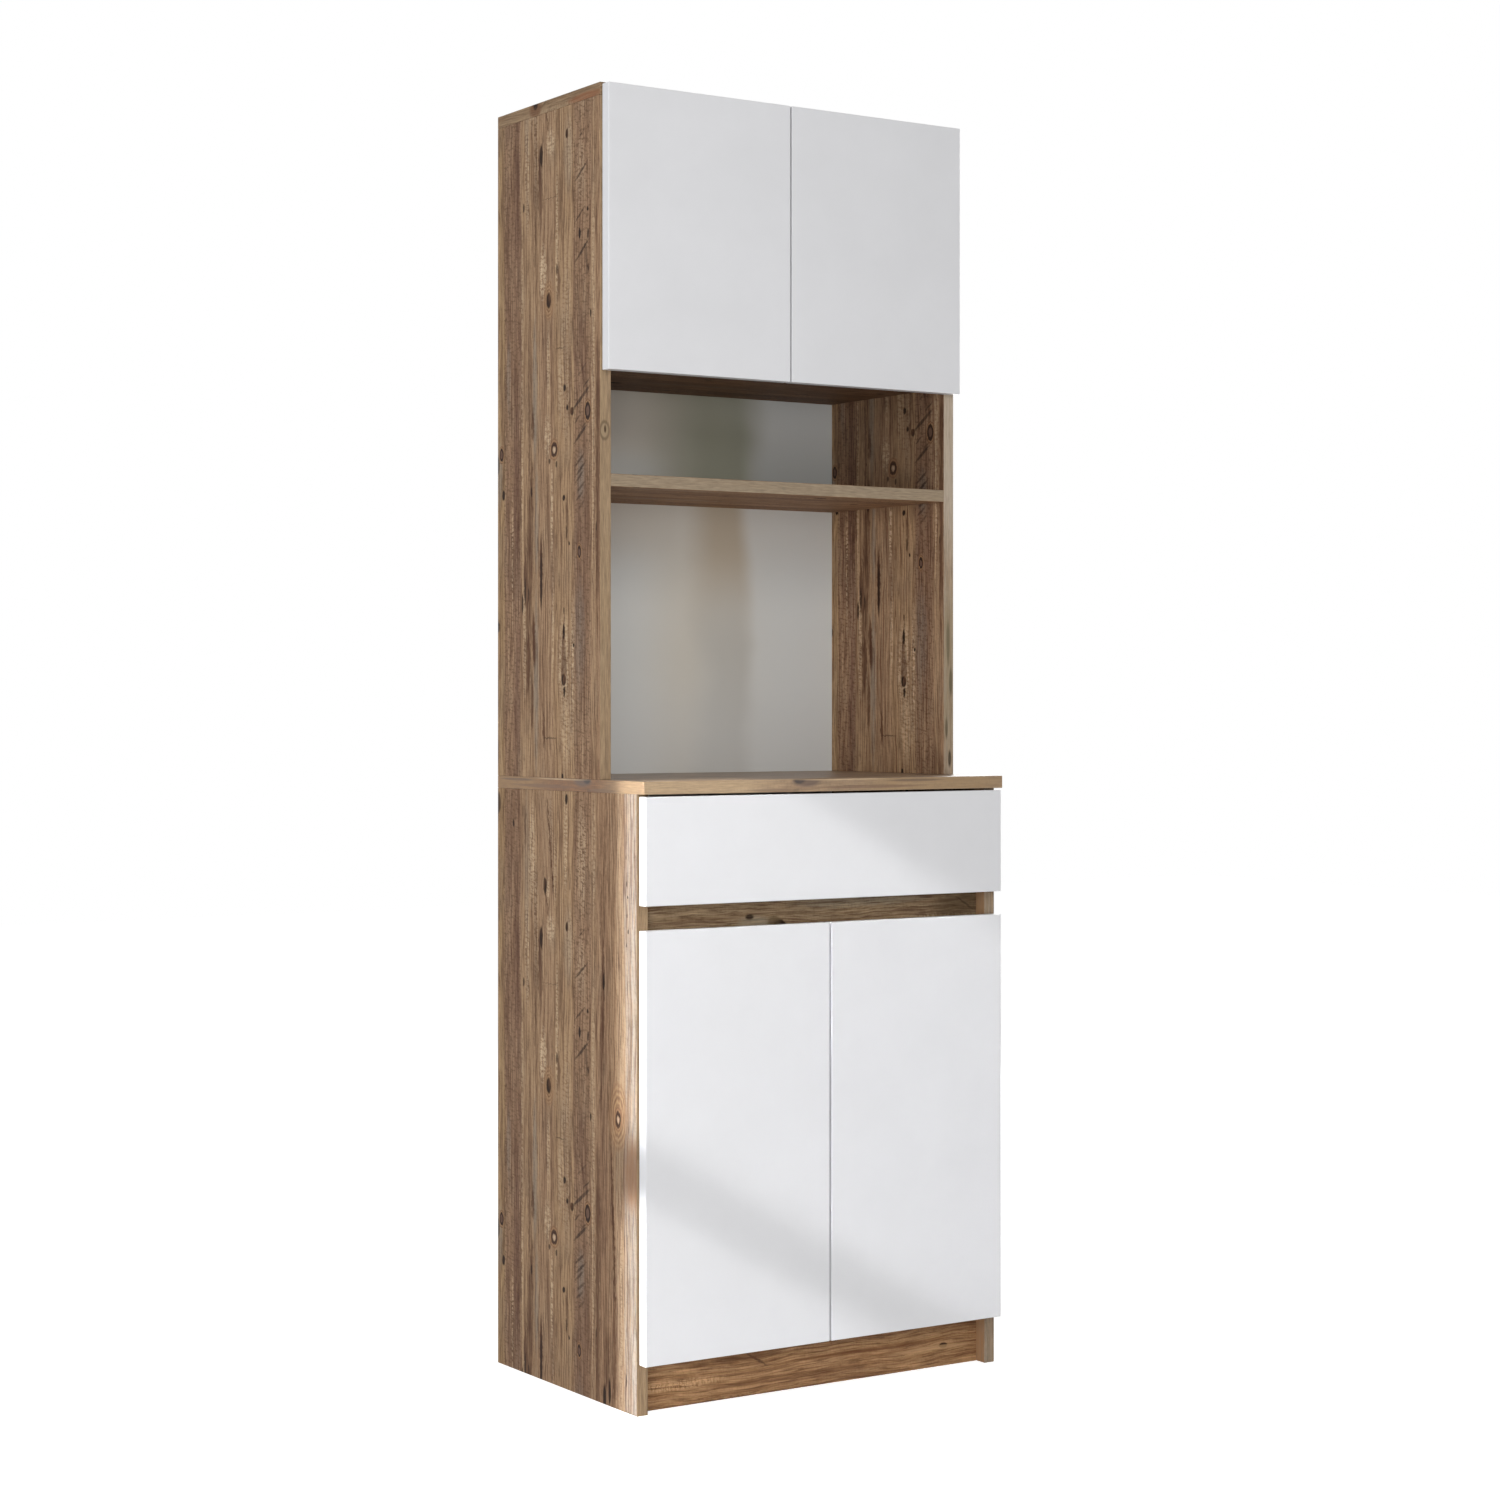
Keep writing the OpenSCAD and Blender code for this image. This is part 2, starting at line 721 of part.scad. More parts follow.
module plinth() {
    color(wood_flat) difference() {
        slab([-inner_x, rail_y, 0], [inner_x, rail_y + board_t, plinth_h]);
        both_sides() {
            at_plinth_joint() cam_holes(board_t / 2);
            at_plinth_dowel() dowel_hole();
        }
    }
}

module grip_rail() {
    color(wood_flat) difference() {
        slab([-inner_x, rail_y, rail_z], [inner_x, rail_y + board_t, rail_top]);
        both_sides() {
            at_rail_joint() cam_holes(board_t / 2);
            at_rail_dowel() dowel_hole();
        }
    }
}

module base_back_panel() {
    edge = inner_x + rebate_w - back_gap;
    color(back_grey) difference() {
        slab([-edge, panel_y, plinth_h], [edge, panel_y + back_t, worktop_low]);
        both_sides() at_base_side_nails() nail_hole();
        at_board_nails(plinth_h) nail_hole();
    }
}

module worktop() {
    color(wood_flat) difference() {
        slab([-side_x, worktop_y, worktop_low], [side_x, back_y, worktop_z]);
        both_sides() {
            at_worktop_joint() cam_holes(board_t / 2, board_t);
            at_worktop_dowel() dowel_hole();
        }
    }
}

module hutch_side() {
    color(wood_side) difference() {
        slab([-side_x, hutch_y, worktop_z], [-inner_x, back_y, top_z]);
        slab([-inner_x - rebate_w, panel_y, worktop_z - over],
             [-inner_x + over, back_y + over, top_z + over]);
        at_worktop_joint() cam_holes(board_t / 2, board_t);
        at_top_joint() cam_holes(board_t / 2);
        at_top_dowel() dowel_hole();
        at_cupboard_joint() cam_holes(board_t / 2);
        at_cupboard_dowel() dowel_hole();
        at_shelf_joint() cam_holes(board_t / 2);
        at_shelf_dowel() dowel_hole();
        at_hutch_side_nails() nail_hole();
        at_upper_hinges() at_plate_screws() flat_screw_hole();
    }
}

module hutch_side_left() {
    hutch_side();
}

module hutch_side_right() {
    mirror([1, 0, 0]) hutch_side();
}

module hutch_top() {
    color(wood_flat) difference() {
        slab([-side_x, hutch_y, top_z], [side_x, back_y, cabinet_h]);
        both_sides() {
            at_top_joint() cam_holes(board_t / 2);
            at_top_dowel() dowel_hole();
            at_bracket_screw() flat_screw_hole();
        }
    }
}

module cupboard_floor() {
    color(wood_flat) difference() {
        slab([-inner_x, hutch_y, cupboard_z], [inner_x, panel_y, cupboard_z + board_t]);
        both_sides() {
            at_cupboard_joint() cam_holes(board_t / 2);
            at_cupboard_dowel() dowel_hole();
        }
        at_board_nails(cupboard_z) nail_hole();
    }
}

module open_shelf() {
    color(wood_flat) difference() {
        slab([-inner_x, hutch_y, open_shelf_z - board_t], [inner_x, panel_y, open_shelf_z]);
        both_sides() {
            at_shelf_joint() cam_holes(board_t / 2);
            at_shelf_dowel() dowel_hole();
        }
        at_board_nails(open_shelf_z - board_t) nail_hole();
    }
}

module hutch_back_panel() {
    edge = inner_x + rebate_w - back_gap;
    color(back_grey) difference() {
        slab([-edge, panel_y, worktop_z], [edge, panel_y + back_t, top_z]);
        both_sides() {
            at_hutch_side_nails() nail_hole();
            at_wall_hole() along_y(wall_hole_r, back_t + bracket_t + 2 * over);
        }
        at_board_nails(cupboard_z) nail_hole();
        at_board_nails(open_shelf_z - board_t) nail_hole();
    }
}

module inner_shelf() {
    edge = inner_x - inner_shelf_gap;
    color(wood_flat)
        slab([-edge, base_y + inner_shelf_setback, inner_shelf_z],
             [edge, panel_y - inner_shelf_gap, inner_shelf_z + board_t]);
}

// Shelf pegs, two in each side

module at_pegs() {
    for (y = base_fix_ys) translate([-inner_x - peg_in - end_gap, y, peg_z]) children();
}

module shelf_pegs() {
    color(steel) both_sides() at_pegs() {
        translate([end_gap, 0, 0]) along_x(peg_r, peg_in + tongue_out / 2);
        translate([end_gap + peg_in, -tongue_w / 2, peg_r - tongue_t])
            cube([tongue_out, tongue_w, tongue_t]);
    }
}

// Doors

module door(front, low, high) {
    slab([-door_x, front - front_gap - front_t, low], [-door_x + door_w, front - front_gap, high]);
}

module upper_door() {
    color(white) difference() {
        door(hutch_y, upper_door_z, upper_door_top);
        at_upper_hinges() cup_pocket();
    }
}

module lower_door() {
    color(white) difference() {
        door(base_y, lower_door_z, lower_door_top);
        at_lower_hinges() cup_pocket();
    }
}

module upper_door_left() {
    upper_door();
}

module upper_door_right() {
    mirror([1, 0, 0]) upper_door();
}

module lower_door_left() {
    lower_door();
}

module lower_door_right() {
    mirror([1, 0, 0]) lower_door();
}

// Hinge pieces

module upper_left_hinge_cups() {
    color(steel) at_upper_hinges() hinge_cup();
}

module upper_right_hinge_cups() {
    mirror([1, 0, 0]) upper_left_hinge_cups();
}

module lower_left_hinge_cups() {
    color(steel) at_lower_hinges() hinge_cup();
}

module lower_right_hinge_cups() {
    mirror([1, 0, 0]) lower_left_hinge_cups();
}

module upper_left_cup_screws() {
    color(zinc) at_upper_hinges() at_cup_screws() pan_screw();
}

module upper_right_cup_screws() {
    mirror([1, 0, 0]) upper_left_cup_screws();
}

module lower_left_cup_screws() {
    color(zinc) at_lower_hinges() at_cup_screws() pan_screw();
}

module lower_right_cup_screws() {
    mirror([1, 0, 0]) lower_left_cup_screws();
}

module hinge_pins() {
    color(zinc) at_all_hinges() hinge_pin();
}

module hinge_arms() {
    color(steel) at_all_hinges() hinge_arm();
}

module hinge_arm_screws() {
    color(zinc) at_all_hinges() at_arm_screw() pan_screw(arm_t + plate_t - end_gap);
}

module hinge_mounting_plates() {
    color(steel) at_all_hinges() mounting_plate();
}

module mounting_plate_screws() {
    color(zinc) at_all_hinges() at_plate_screws() flat_screw();
}

// Drawer box

module at_drawer_cams() {
    for (z = drawer_cam_zs) translate([-box_x + drawer_board_t / 2, box_y, z]) rotate([-90, 0, 0])
        children();
}

module at_long_screws() {
    for (z = long_screw_zs) translate([-box_x, back_mid_y, z]) rotate([0, -90, 0]) children();
}

module at_bottom_nails() {
    for (k = [-1 : 1]) translate([k * bottom_nail_x, back_mid_y, groove_z]) rotate([180, 0, 0])
        children();
}

module drawer_front() {
    color(white) difference() {
        slab([-door_x, base_y - front_gap - front_t, drawer_z],
             [-door_x + front_w, base_y - front_gap, drawer_z + drawer_front_h]);
        both_sides() at_drawer_cams() cam_holes(drawer_board_t / 2);
        bottom_groove();
    }
}

// Room for the drawer bottom in the boards round it
module bottom_groove() {
    reach = box_in_x + groove_d;
    slab([-reach, box_y - groove_d, groove_z], [reach, box_back_y + over, groove_z + drawer_bottom_t]);
}

module drawer_side() {
    color(white) difference() {
        slab([-box_x, box_y, box_z], [-box_in_x, box_back_y, box_top]);
        bottom_groove();
        at_drawer_cams() cam_holes(drawer_board_t / 2);
        at_long_screws() flat_screw_hole(long_screw_r, long_screw_len);
        at_inner_runner_screws() pan_screw_hole();
    }
}

module drawer_side_left() {
    drawer_side();
}

module drawer_side_right() {
    mirror([1, 0, 0]) drawer_side();
}

module drawer_back() {
    color(white) difference() {
        slab([-box_in_x, box_back_y - drawer_board_t, groove_z + drawer_bottom_t],
             [box_in_x, box_back_y, box_top]);
        both_sides() at_long_screws() flat_screw_hole(long_screw_r, long_screw_len);
        at_bottom_nails() nail_hole();
    }
}

module drawer_bottom() {
    reach = box_in_x + groove_d - back_gap;
    color(white) difference() {
        slab([-reach, box_y - groove_d + back_gap, groove_z],
             [reach, box_back_y, groove_z + drawer_bottom_t]);
        at_bottom_nails() nail_hole();
    }
}

module drawer_cams() {
    color(zinc) both_sides() at_drawer_cams() cam_lock(drawer_board_t / 2);
}

module drawer_cam_bolts() {
    color(zinc) both_sides() at_drawer_cams() cam_bolt();
}

module drawer_back_screws() {
    color(zinc) both_sides() at_long_screws() flat_screw(long_screw_r, long_screw_len);
}

module drawer_bottom_nails() {
    color(zinc) at_bottom_nails() nail();
}

// Telescopic runners. Profiles lie with the side's inner face at x = 0 and the drawer to +X.

// A channel on its side, with lips at its open edge
module channel(x0, x1, h, lip) {
    difference() {
        translate([x0, -h]) square([x1 - x0, 2 * h]);
        translate([x0 + runner_sheet, -h + runner_sheet])
            square([x1 - x0 - 2 * runner_sheet, 2 * (h - runner_sheet)]);
        translate([x0 + runner_sheet, -lip]) square([x1 - x0, 2 * lip]);
    }
}

module runner_run() {
    translate([-inner_x, runner_y + runner_len, runner_z]) rotate([90, 0, 0])
        linear_extrude(runner_len) children();
}

module at_outer_runner_screws() {
    for (y = runner_screw_ys) translate([-inner_x + runner_sheet, y, runner_z]) rotate([0, 90, 0])
        children();
}

module at_inner_runner_screws() {
    for (y = runner_screw_ys) translate([-box_x - runner_sheet, y, runner_z]) rotate([0, -90, 0])
        children();
}

module runner_outer() {
    color(zinc) difference() {
        runner_run() channel(0, runner_channel, runner_h / 2, lip_h);
        at_outer_runner_screws() flat_screw_hole();
    }
}

module runner_middle() {
    color(steel) runner_run() channel(middle_x, middle_end, middle_h, lip_h);
}

module runner_inner() {
    color(zinc) difference() {
        runner_run() difference() {
            translate([middle_x + runner_sheet + runner_gap, -inner_h])
                square([runner_w - middle_x - runner_sheet - runner_gap, 2 * inner_h]);
            translate([0, -inner_h + runner_sheet])
                square([runner_w - runner_sheet, 2 * (inner_h - runner_sheet)]);
        }
        at_inner_runner_screws() pan_screw_hole();
    }
}

module runner_outer_left() {
    runner_outer();
}

module runner_outer_right() {
    mirror([1, 0, 0]) runner_outer();
}

module runner_middle_left() {
    runner_middle();
}

module runner_middle_right() {
    mirror([1, 0, 0]) runner_middle();
}

module runner_inner_left() {
    runner_inner();
}

module runner_inner_right() {
    mirror([1, 0, 0]) runner_inner();
}

module outer_runner_screws() {
    color(zinc) both_sides() at_outer_runner_screws() flat_screw();
}

module inner_runner_screws() {
    color(zinc) both_sides() at_inner_runner_screws() pan_screw();
}

// Connectors and small pieces

module cam_locks() {
    color(zinc) both_sides() {
        at_top_joint() cam_lock(board_t / 2);
        at_cupboard_joint() cam_lock(board_t / 2);
        at_shelf_joint() cam_lock(board_t / 2);
        at_worktop_joint() cam_lock(board_t / 2, board_t);
        at_floor_joint() cam_lock(board_t / 2);
        at_rail_joint() cam_lock(board_t / 2);
        at_plinth_joint() cam_lock(board_t / 2);
    }
}

module cam_bolts() {
    color(zinc) both_sides() {
        at_top_joint() cam_bolt();
        at_cupboard_joint() cam_bolt();
        at_shelf_joint() cam_bolt();
        at_floor_joint() cam_bolt();
        at_rail_joint() cam_bolt();
        at_plinth_joint() cam_bolt();
    }
}

module worktop_bolts() {
    color(zinc) both_sides() at_worktop_joint() cam_bolt(board_t);
}

module dowels() {
    color(beech) both_sides() {
        at_top_dowel() dowel();
        at_cupboard_dowel() dowel();
        at_shelf_dowel() dowel();
        at_worktop_dowel() dowel();
        at_floor_dowel() dowel();
        at_rail_dowel() dowel();
        at_plinth_dowel() dowel();
    }
}

module hutch_back_nails() {
    color(zinc) {
        both_sides() at_hutch_side_nails() nail();
        at_board_nails(cupboard_z) nail();
        at_board_nails(open_shelf_z - board_t) nail();
    }
}

module base_back_nails() {
    color(zinc) {
        both_sides() at_base_side_nails() nail();
        at_board_nails(plinth_h) nail();
    }
}

// Buffers on the carcass edges behind the fronts
module door_buffers() {
    buffer_t = front_gap - flat_gap;
    side_mid = side_x - board_t / 2;
    color(clear) both_sides() {
        for (z = [top_z + board_t / 2, cupboard_z + board_t / 2])
            translate([-buffer_in, hutch_y - buffer_t, z]) along_y(buffer_r, buffer_t);
        translate([-buffer_in, base_y - buffer_t, (lower_door_z + floor_top) / 2])
            along_y(buffer_r, buffer_t);
        for (z = [drawer_z + buffer_in, drawer_z + drawer_front_h - buffer_in])
            translate([-side_mid, base_y - buffer_t, z]) along_y(buffer_r, buffer_t);
    }
}

// Angle brackets under the top that hold the cabinet to the wall

module at_bracket_screw() {
    translate([-bracket_x, panel_y - bracket_leg / 2, top_z - bracket_t])
        rotate([180, 0, 0]) children();
}

module at_wall_hole() {
    translate([-bracket_x, panel_y - bracket_t - over, top_z - wall_hole_drop]) children();
}

module wall_brackets() {
    color(steel) both_sides() difference() {
        union() {
            slab([-bracket_x - bracket_w / 2, panel_y - bracket_leg, top_z - bracket_t],
                 [-bracket_x + bracket_w / 2, panel_y, top_z]);
            slab([-bracket_x - bracket_w / 2, panel_y - bracket_t, top_z - bracket_h],
                 [-bracket_x + bracket_w / 2, panel_y, top_z]);
        }
        at_bracket_screw() flat_screw_hole();
        at_wall_hole() along_y(wall_hole_r, bracket_t + 2 * over);
    }
}

module wall_bracket_screws() {
    color(zinc) both_sides() at_bracket_screw() flat_screw();
}

base_side_left();
base_side_right();
base_floor();
plinth();
grip_rail();
base_back_panel();
inner_shelf();
shelf_pegs();
worktop();
hutch_side_left();
hutch_side_right();
hutch_top();
cupboard_floor();
open_shelf();
hutch_back_panel();
upper_door_left();
upper_door_right();
lower_door_left();
lower_door_right();
upper_left_hinge_cups();
upper_right_hinge_cups();
lower_left_hinge_cups();
lower_right_hinge_cups();
upper_left_cup_screws();
upper_right_cup_screws();
lower_left_cup_screws();
lower_right_cup_screws();
hinge_pins();
hinge_arms();
hinge_arm_screws();
hinge_mounting_plates();
mounting_plate_screws();
drawer_front();
drawer_side_left();
drawer_side_right();
drawer_back();
drawer_bottom();
drawer_cams();
drawer_cam_bolts();
drawer_back_screws();
drawer_bottom_nails();
runner_outer_left();
runner_outer_right();
runner_middle_left();
runner_middle_right();
runner_inner_left();
runner_inner_right();
outer_runner_screws();
inner_runner_screws();
cam_locks();
cam_bolts();
worktop_bolts();
dowels();
hutch_back_nails();
base_back_nails();
door_buffers();
wall_brackets();
wall_bracket_screws();
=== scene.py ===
import json
from math import radians

import bmesh
import bpy
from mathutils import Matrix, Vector

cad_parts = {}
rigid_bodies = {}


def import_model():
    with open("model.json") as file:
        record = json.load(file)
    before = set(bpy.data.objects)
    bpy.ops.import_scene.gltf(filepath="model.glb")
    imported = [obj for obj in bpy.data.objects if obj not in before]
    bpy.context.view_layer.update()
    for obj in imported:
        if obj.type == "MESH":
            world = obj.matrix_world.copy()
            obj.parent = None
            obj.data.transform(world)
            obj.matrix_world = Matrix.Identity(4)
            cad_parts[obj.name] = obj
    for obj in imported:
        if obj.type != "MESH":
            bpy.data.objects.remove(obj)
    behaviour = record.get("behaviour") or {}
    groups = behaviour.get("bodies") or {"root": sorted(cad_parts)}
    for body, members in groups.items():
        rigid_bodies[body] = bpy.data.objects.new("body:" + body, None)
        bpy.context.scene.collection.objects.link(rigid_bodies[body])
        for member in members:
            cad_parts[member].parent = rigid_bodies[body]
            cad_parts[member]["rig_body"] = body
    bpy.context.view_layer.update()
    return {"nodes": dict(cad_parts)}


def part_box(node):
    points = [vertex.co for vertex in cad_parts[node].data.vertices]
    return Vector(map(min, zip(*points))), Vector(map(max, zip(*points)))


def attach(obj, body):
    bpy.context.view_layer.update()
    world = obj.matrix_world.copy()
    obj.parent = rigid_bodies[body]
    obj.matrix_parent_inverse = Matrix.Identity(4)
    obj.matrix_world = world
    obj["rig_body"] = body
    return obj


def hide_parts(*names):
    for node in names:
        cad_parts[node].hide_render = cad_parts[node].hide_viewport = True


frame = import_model()
NODES = frame["nodes"]

MM = 0.001


def paint(code, alpha=1.0):
    """A screen colour such as "8D735B" as the linear colour that Blender works in."""
    screen = [int(code[at:at + 2], 16) / 255 for at in (0, 2, 4)]
    return tuple(c / 12.92 if c < 0.04045 else ((c + 0.055) / 1.055) ** 2.4 for c in screen) + (alpha,)


# ---------------------------------------------------------------- shader tools

class Amount:
    """A number that varies over a surface. Sums on it add Math nodes."""

    def __init__(self, look, socket):
        self.look, self.socket = look, socket

    def worked(self, operation, *terms, clamp=False):
        made = self.look.node("Math", {"operation": operation, "use_clamp": clamp}, dict(enumerate(terms)))
        return Amount(self.look, made.outputs[0])

    def __add__(self, other):
        return self.worked("ADD", self, other)

    def __sub__(self, other):
        return self.worked("SUBTRACT", self, other)

    def __rsub__(self, other):
        return self.worked("SUBTRACT", other, self)

    def __mul__(self, other):
        return self.worked("MULTIPLY", self, other)

    def __truediv__(self, other):
        return self.worked("DIVIDE", self, other)

    def __rtruediv__(self, other):
        return self.worked("DIVIDE", other, self)

    def __gt__(self, other):
        return self.worked("GREATER_THAN", self, other)

    def __lt__(self, other):
        return self.worked("LESS_THAN", self, other)

    def __abs__(self):
        return self.worked("ABSOLUTE", self)

    __radd__ = __add__
    __rmul__ = __mul__

    def most(self, other):
        return self.worked("MAXIMUM", self, other)

    def held(self):
        """The same number, kept between 0 and 1."""
        return self.worked("ADD", self, 0.0, clamp=True)

    def hardened(self, edge):
        """A mask with a harder rim: the higher the edge, the harder."""
        return self.worked("MULTIPLY", self, edge, clamp=True)

    def eased(self, start, end):
        """0 at start and 1 at end, with a soft step between them."""
        made = self.look.node("MapRange", {"interpolation_type": "SMOOTHSTEP"},
                              {"Value": self, "From Min": start, "From Max": end})
        return Amount(self.look, made.outputs[0])

    def choose(self, inside, outside):
        """One number where this mask is 1, and another where it is 0."""
        return self * (inside - outside) + outside


class Look:
    """Adds nodes to one material or node group."""

    def __init__(self, tree):
        self.tree = tree

    def node(self, kind, settings=None, values=None):
        """One node: its type, then its settings, then the values and links of its sockets."""
        made = self.tree.nodes.new(kind if kind.startswith("NodeGroup") else "ShaderNode" + kind)
        for name, value in (settings or {}).items():
            if name == "stops":
                self.set_stops(made.color_ramp.elements, value)
            else:
                setattr(made, name, value)
        for name, value in (values or {}).items():
            if isinstance(value, Amount):
                value = value.socket
            if isinstance(value, bpy.types.NodeSocket):
                self.tree.links.new(value, made.inputs[name])
            else:
                made.inputs[name].default_value = value
        return made

    @staticmethod
    def set_stops(ramp, stops):
        """A new ramp has two stops. The others are added after them."""
        for place, (at, colour) in enumerate(stops):
            stop = ramp[place] if place < 2 else ramp.new(at)
            stop.position, stop.color = at, colour

    def place(self):
        """x, y and z of the surface point in millimetres, in the cabinet's own frame."""
        metres = self.node("TexCoord").outputs["Object"]
        scaled = self.node("VectorMath", {"operation": "SCALE"}, {0: metres, "Scale": 1 / MM})
        parts = self.node("SeparateXYZ", None, {0: scaled.outputs[0]})
        return [Amount(self, socket) for socket in parts.outputs]

    def point(self, x, y, z=0.0):
        return self.node("CombineXYZ", None, {0: x, 1: y, 2: z}).outputs[0]

    def noise(self, point, scale=1.0, detail=2.0, rough=0.5, flat=True):
        made = self.node("TexNoise", {"noise_dimensions": "2D" if flat else "3D"},
                         {"Vector": point, "Scale": scale, "Detail": detail, "Roughness": rough})
        return Amount(self, made.outputs[0])

    def spot(self, point, across, along, width, length, tilt=0.0, fall="SPHERICAL"):
        """1 in the middle of an oval and 0 from its rim outwards."""
        moved = self.node("Mapping", {"vector_type": "TEXTURE"},
                          {"Vector": point, "Location": (across, along, 0), "Rotation": (0, 0, radians(tilt)),
                           "Scale": (width, length, 1)})
        made = self.node("TexGradient", {"gradient_type": fall}, {0: moved.outputs[0]})
        return Amount(self, made.outputs[1])

    def blend(self, cover, first, second, way="MIX"):
        """The second colour over the first."""
        made = self.node("Mix", {"data_type": "RGBA", "blend_type": way}, {0: cover, 6: first, 7: second})
        return made.outputs[2]

    def washed(self, colour, *washes):
        """A colour under several washes, each given as its cover and its colour code."""
        for cover, code in washes:
            colour = self.blend(cover, colour, paint(code))
        return colour

    def stained(self, colour, stain):
        """A colour with each of its three parts multiplied."""
        return self.blend(1.0, colour, stain + (1.0,), "MULTIPLY")

    def ramp(self, amount, stops):
        return self.node("ValToRGB", {"stops": stops}, {0: amount})

    def tones(self, amount, low, high, start=0.3, end=0.7):
        """One colour code up to start, another from end on, and a run between them."""
        return self.ramp(amount, ((start, paint(low)), (end, paint(high)))).outputs[0]

    def bump(self, height, depth, strength=1.0):
        return self.node("Bump", None, {"Height": height, "Distance": depth, "Strength": strength}).outputs[0]


def new_finish(name, **constants):
    """A new material: the material, its node tools and its shader with the fixed values set."""
    material = bpy.data.materials.new(name)
    material.use_nodes = True
    look = Look(material.node_tree)
    shader = material.node_tree.nodes["Principled BSDF"]
    for socket, value in constants.items():
        shader.inputs[socket.replace("_", " ")].default_value = value
    return material, look, shader


def feed(look, shader, **values):
    """Links what varies over the surface."""
    for socket, value in values.items():
        if isinstance(value, Amount):
            value = value.socket
        look.tree.links.new(value, shader.inputs[socket.replace("_", " ")])


# ---------------------------------------------------------------- pine decor sheet

# The sheet is measured in mm, across from the board's wall edge and along the grain.
SHEET_WIDTH = 400.0
# Each stave starts at its place across and has one ground colour. The last two staves are greyish and pale:
# partly the wood's own colour and partly a painted highlight, the washed-out glare of the low beam on the left
# base side's foremost strip.
STAVES = (
    (0, "A38560"), (21, "92725A"), (50, "826250"), (69, "A98A6A"), (98, "A58667"), (124, "A9896B"),
    (168, "AC8C6A"), (227, "98785F"), (275, "AA8B6C"), (290, "9D7B5F"), (327, "9F7F62"), (346, "A88F74"),
    (368, "9E958C"), (384, "ACA7A0"),
)
# Ovals on the sheet: across, along, half width, half length, tilt in degrees, strength.
KNOTS = (
    (143, 716, 5.5, 15, 0, 1), (154, 428, 9, 15, 0, .75), (221, 263, 6, 7, 20, 1), (132, 640, 5.5, 20, 0, 1),
    (198, -50, 4, 14, 0, .9), (198, -119, 8, 10, 0, 1), (12, 215, 6, 10, 0, .9), (207, 660, 4.5, 9, 0, 1),
    (310, 590, 4, 15, 0, 1), (199, -136, 4, 10, 0, .7),
)
# Knots with growth rings: across, along, half width, half length.
RINGED = ((350, 406, 27, 52), (154, 428, 17, 31))
PALE_EYED = ((170, 212, 16, 18), (350, 402, 12, 20))
GREY_EYED = ((266, 260, 12, 21), (242, 62, 8, 15), (12, 215, 9, 16))
SPECKS = (
    (49, 803, 3, 7, 0, 1), (205, 842, 4.5, 9, 0, 1), (80, 572, 2.5, 8, 0, .9), (243, 513, 4, 9, 0, 1),
    (266, 545, 3, 4, 0, 1), (267, 510, 2.2, 8, 0, 1), (267, 462, 2.2, 6, 0, 1), (274, 397, 2.2, 7, 0, 1),
    (200, 298, 4.5, 6, 0, 1), (208, 269, 3.6, 5, 0, 1), (198, 141, 4.5, 5, 0, 1), (213, 75, 2.6, 4, 0, 1),
    (313, 10, 5, 22, 0, 1), (327, 20, 3.4, 22, 0, 1), (3, 832, 8, 18, 0, .8), (76, -8, 3, 18, 0, .9),
    (2, -40, 5, 9, 0, .9), (226, -70, 2.5, 4, 0, 1), (194, -257, 4, 5, 0, 1), (103, 155, 3, 8, 0, .9),
    (18, 155, 5, 9, 0, 1), (178, 470, 2.4, 10, 0, .8), (156, 196, 3, 5, 0, .8), (132, 26, 3.6, 48, 0, .9),
    (176, 190, 3, 5, 0, .8), (206, 92, 2.5, 10, 0, .7), (198, -20, 2.4, 6, 0, .7), (18, 690, 2, 8, 0, .5),
    (84, 12, 2.6, 22, 0, .9), (94, 6, 2, 14, 0, .8), (371, 766, 1.6, 3, 0, .7), (373, 730, 1.6, 4, 0, .8),
    (376, 712, 1.8, 3, 0, .9), (374, 686, 1.5, 4, 0, .7), (377, 664, 1.8, 4, 0, .8),
    (373, 646, 1.4, 4, 0, .7), (372, 45, 2.2, 12, 0, .7), (290, 96, 2, 9, 0, .7), (2, 200, 4, 16, 0, .8),
)
STREAKS = (
    (132, 40, 6, 60, 0, 1), (110, -62, 7, 52, 4, 1), (94, -90, 8, 66, 0, .9), (183, 452, 6, 30, 0, .7),
    (107, 252, 5, 32, 0, .9), (140, -190, 4.5, 32, 0, .9), (150, 688, 3, 34, 14, .7),
    (97, 60, 9, 150, 0, .75), (116, 590, 5, 160, 0, .6), (294, 170, 8, 250, 0, .75), (337, 240, 4, 180, 3, 1),
    (160, 765, 2.4, 96, 8, 1), (303, 690, 3, 70, 0, .6), (96, 250, 4, 160, 0, .7), (190, 560, 5, 70, 0, .5),
    (216, 300, 5, 100, 0, .45), (198, -96, 11, 34, 0, .75), (198, -66, 5, 30, 0, .8),
    (150, 150, 4, 130, 0, .45), (303, 470, 4, 90, 0, .6), (84, 800, 4, 46, 0, .7), (126, 600, 4, 70, 0, .8),
    (90, -10, 6, 80, 0, .8), (207, 110, 4, 46, 0, .55), (61, 640, 5, 150, 0, .5), (183, 690, 5, 60, 0, .45),
    (62, 120, 4, 100, 0, .6), (320, 60, 8, 60, 0, .7), (305, 800, 6, 60, 0, .4), (104, -150, 4, 60, 0, .7),
    (30, 520, 5, 70, 0, .4), (229, 500, 2, 160, 0, .6), (72, 250, 2, 300, 0, .5), (48, 30, 3, 60, 0, .5),
    (286, 620, 2, 120, 0, .4), (165, 30, 3, 60, 0, .4), (247, 330, 3, 60, 20, .5), (308, 560, 6, 130, 0, .9),
    (132, 590, 5, 60, 0, .7), (312, 720, 4, 90, 0, .5), (84, 30, 5, 60, 0, .8), (22, 400, 2, 420, 0, .5),
    (340, 60, 7, 90, 0, .7), (176, 350, 3, 60, 0, .4), (103, 160, 5, 60, 0, .7),
)
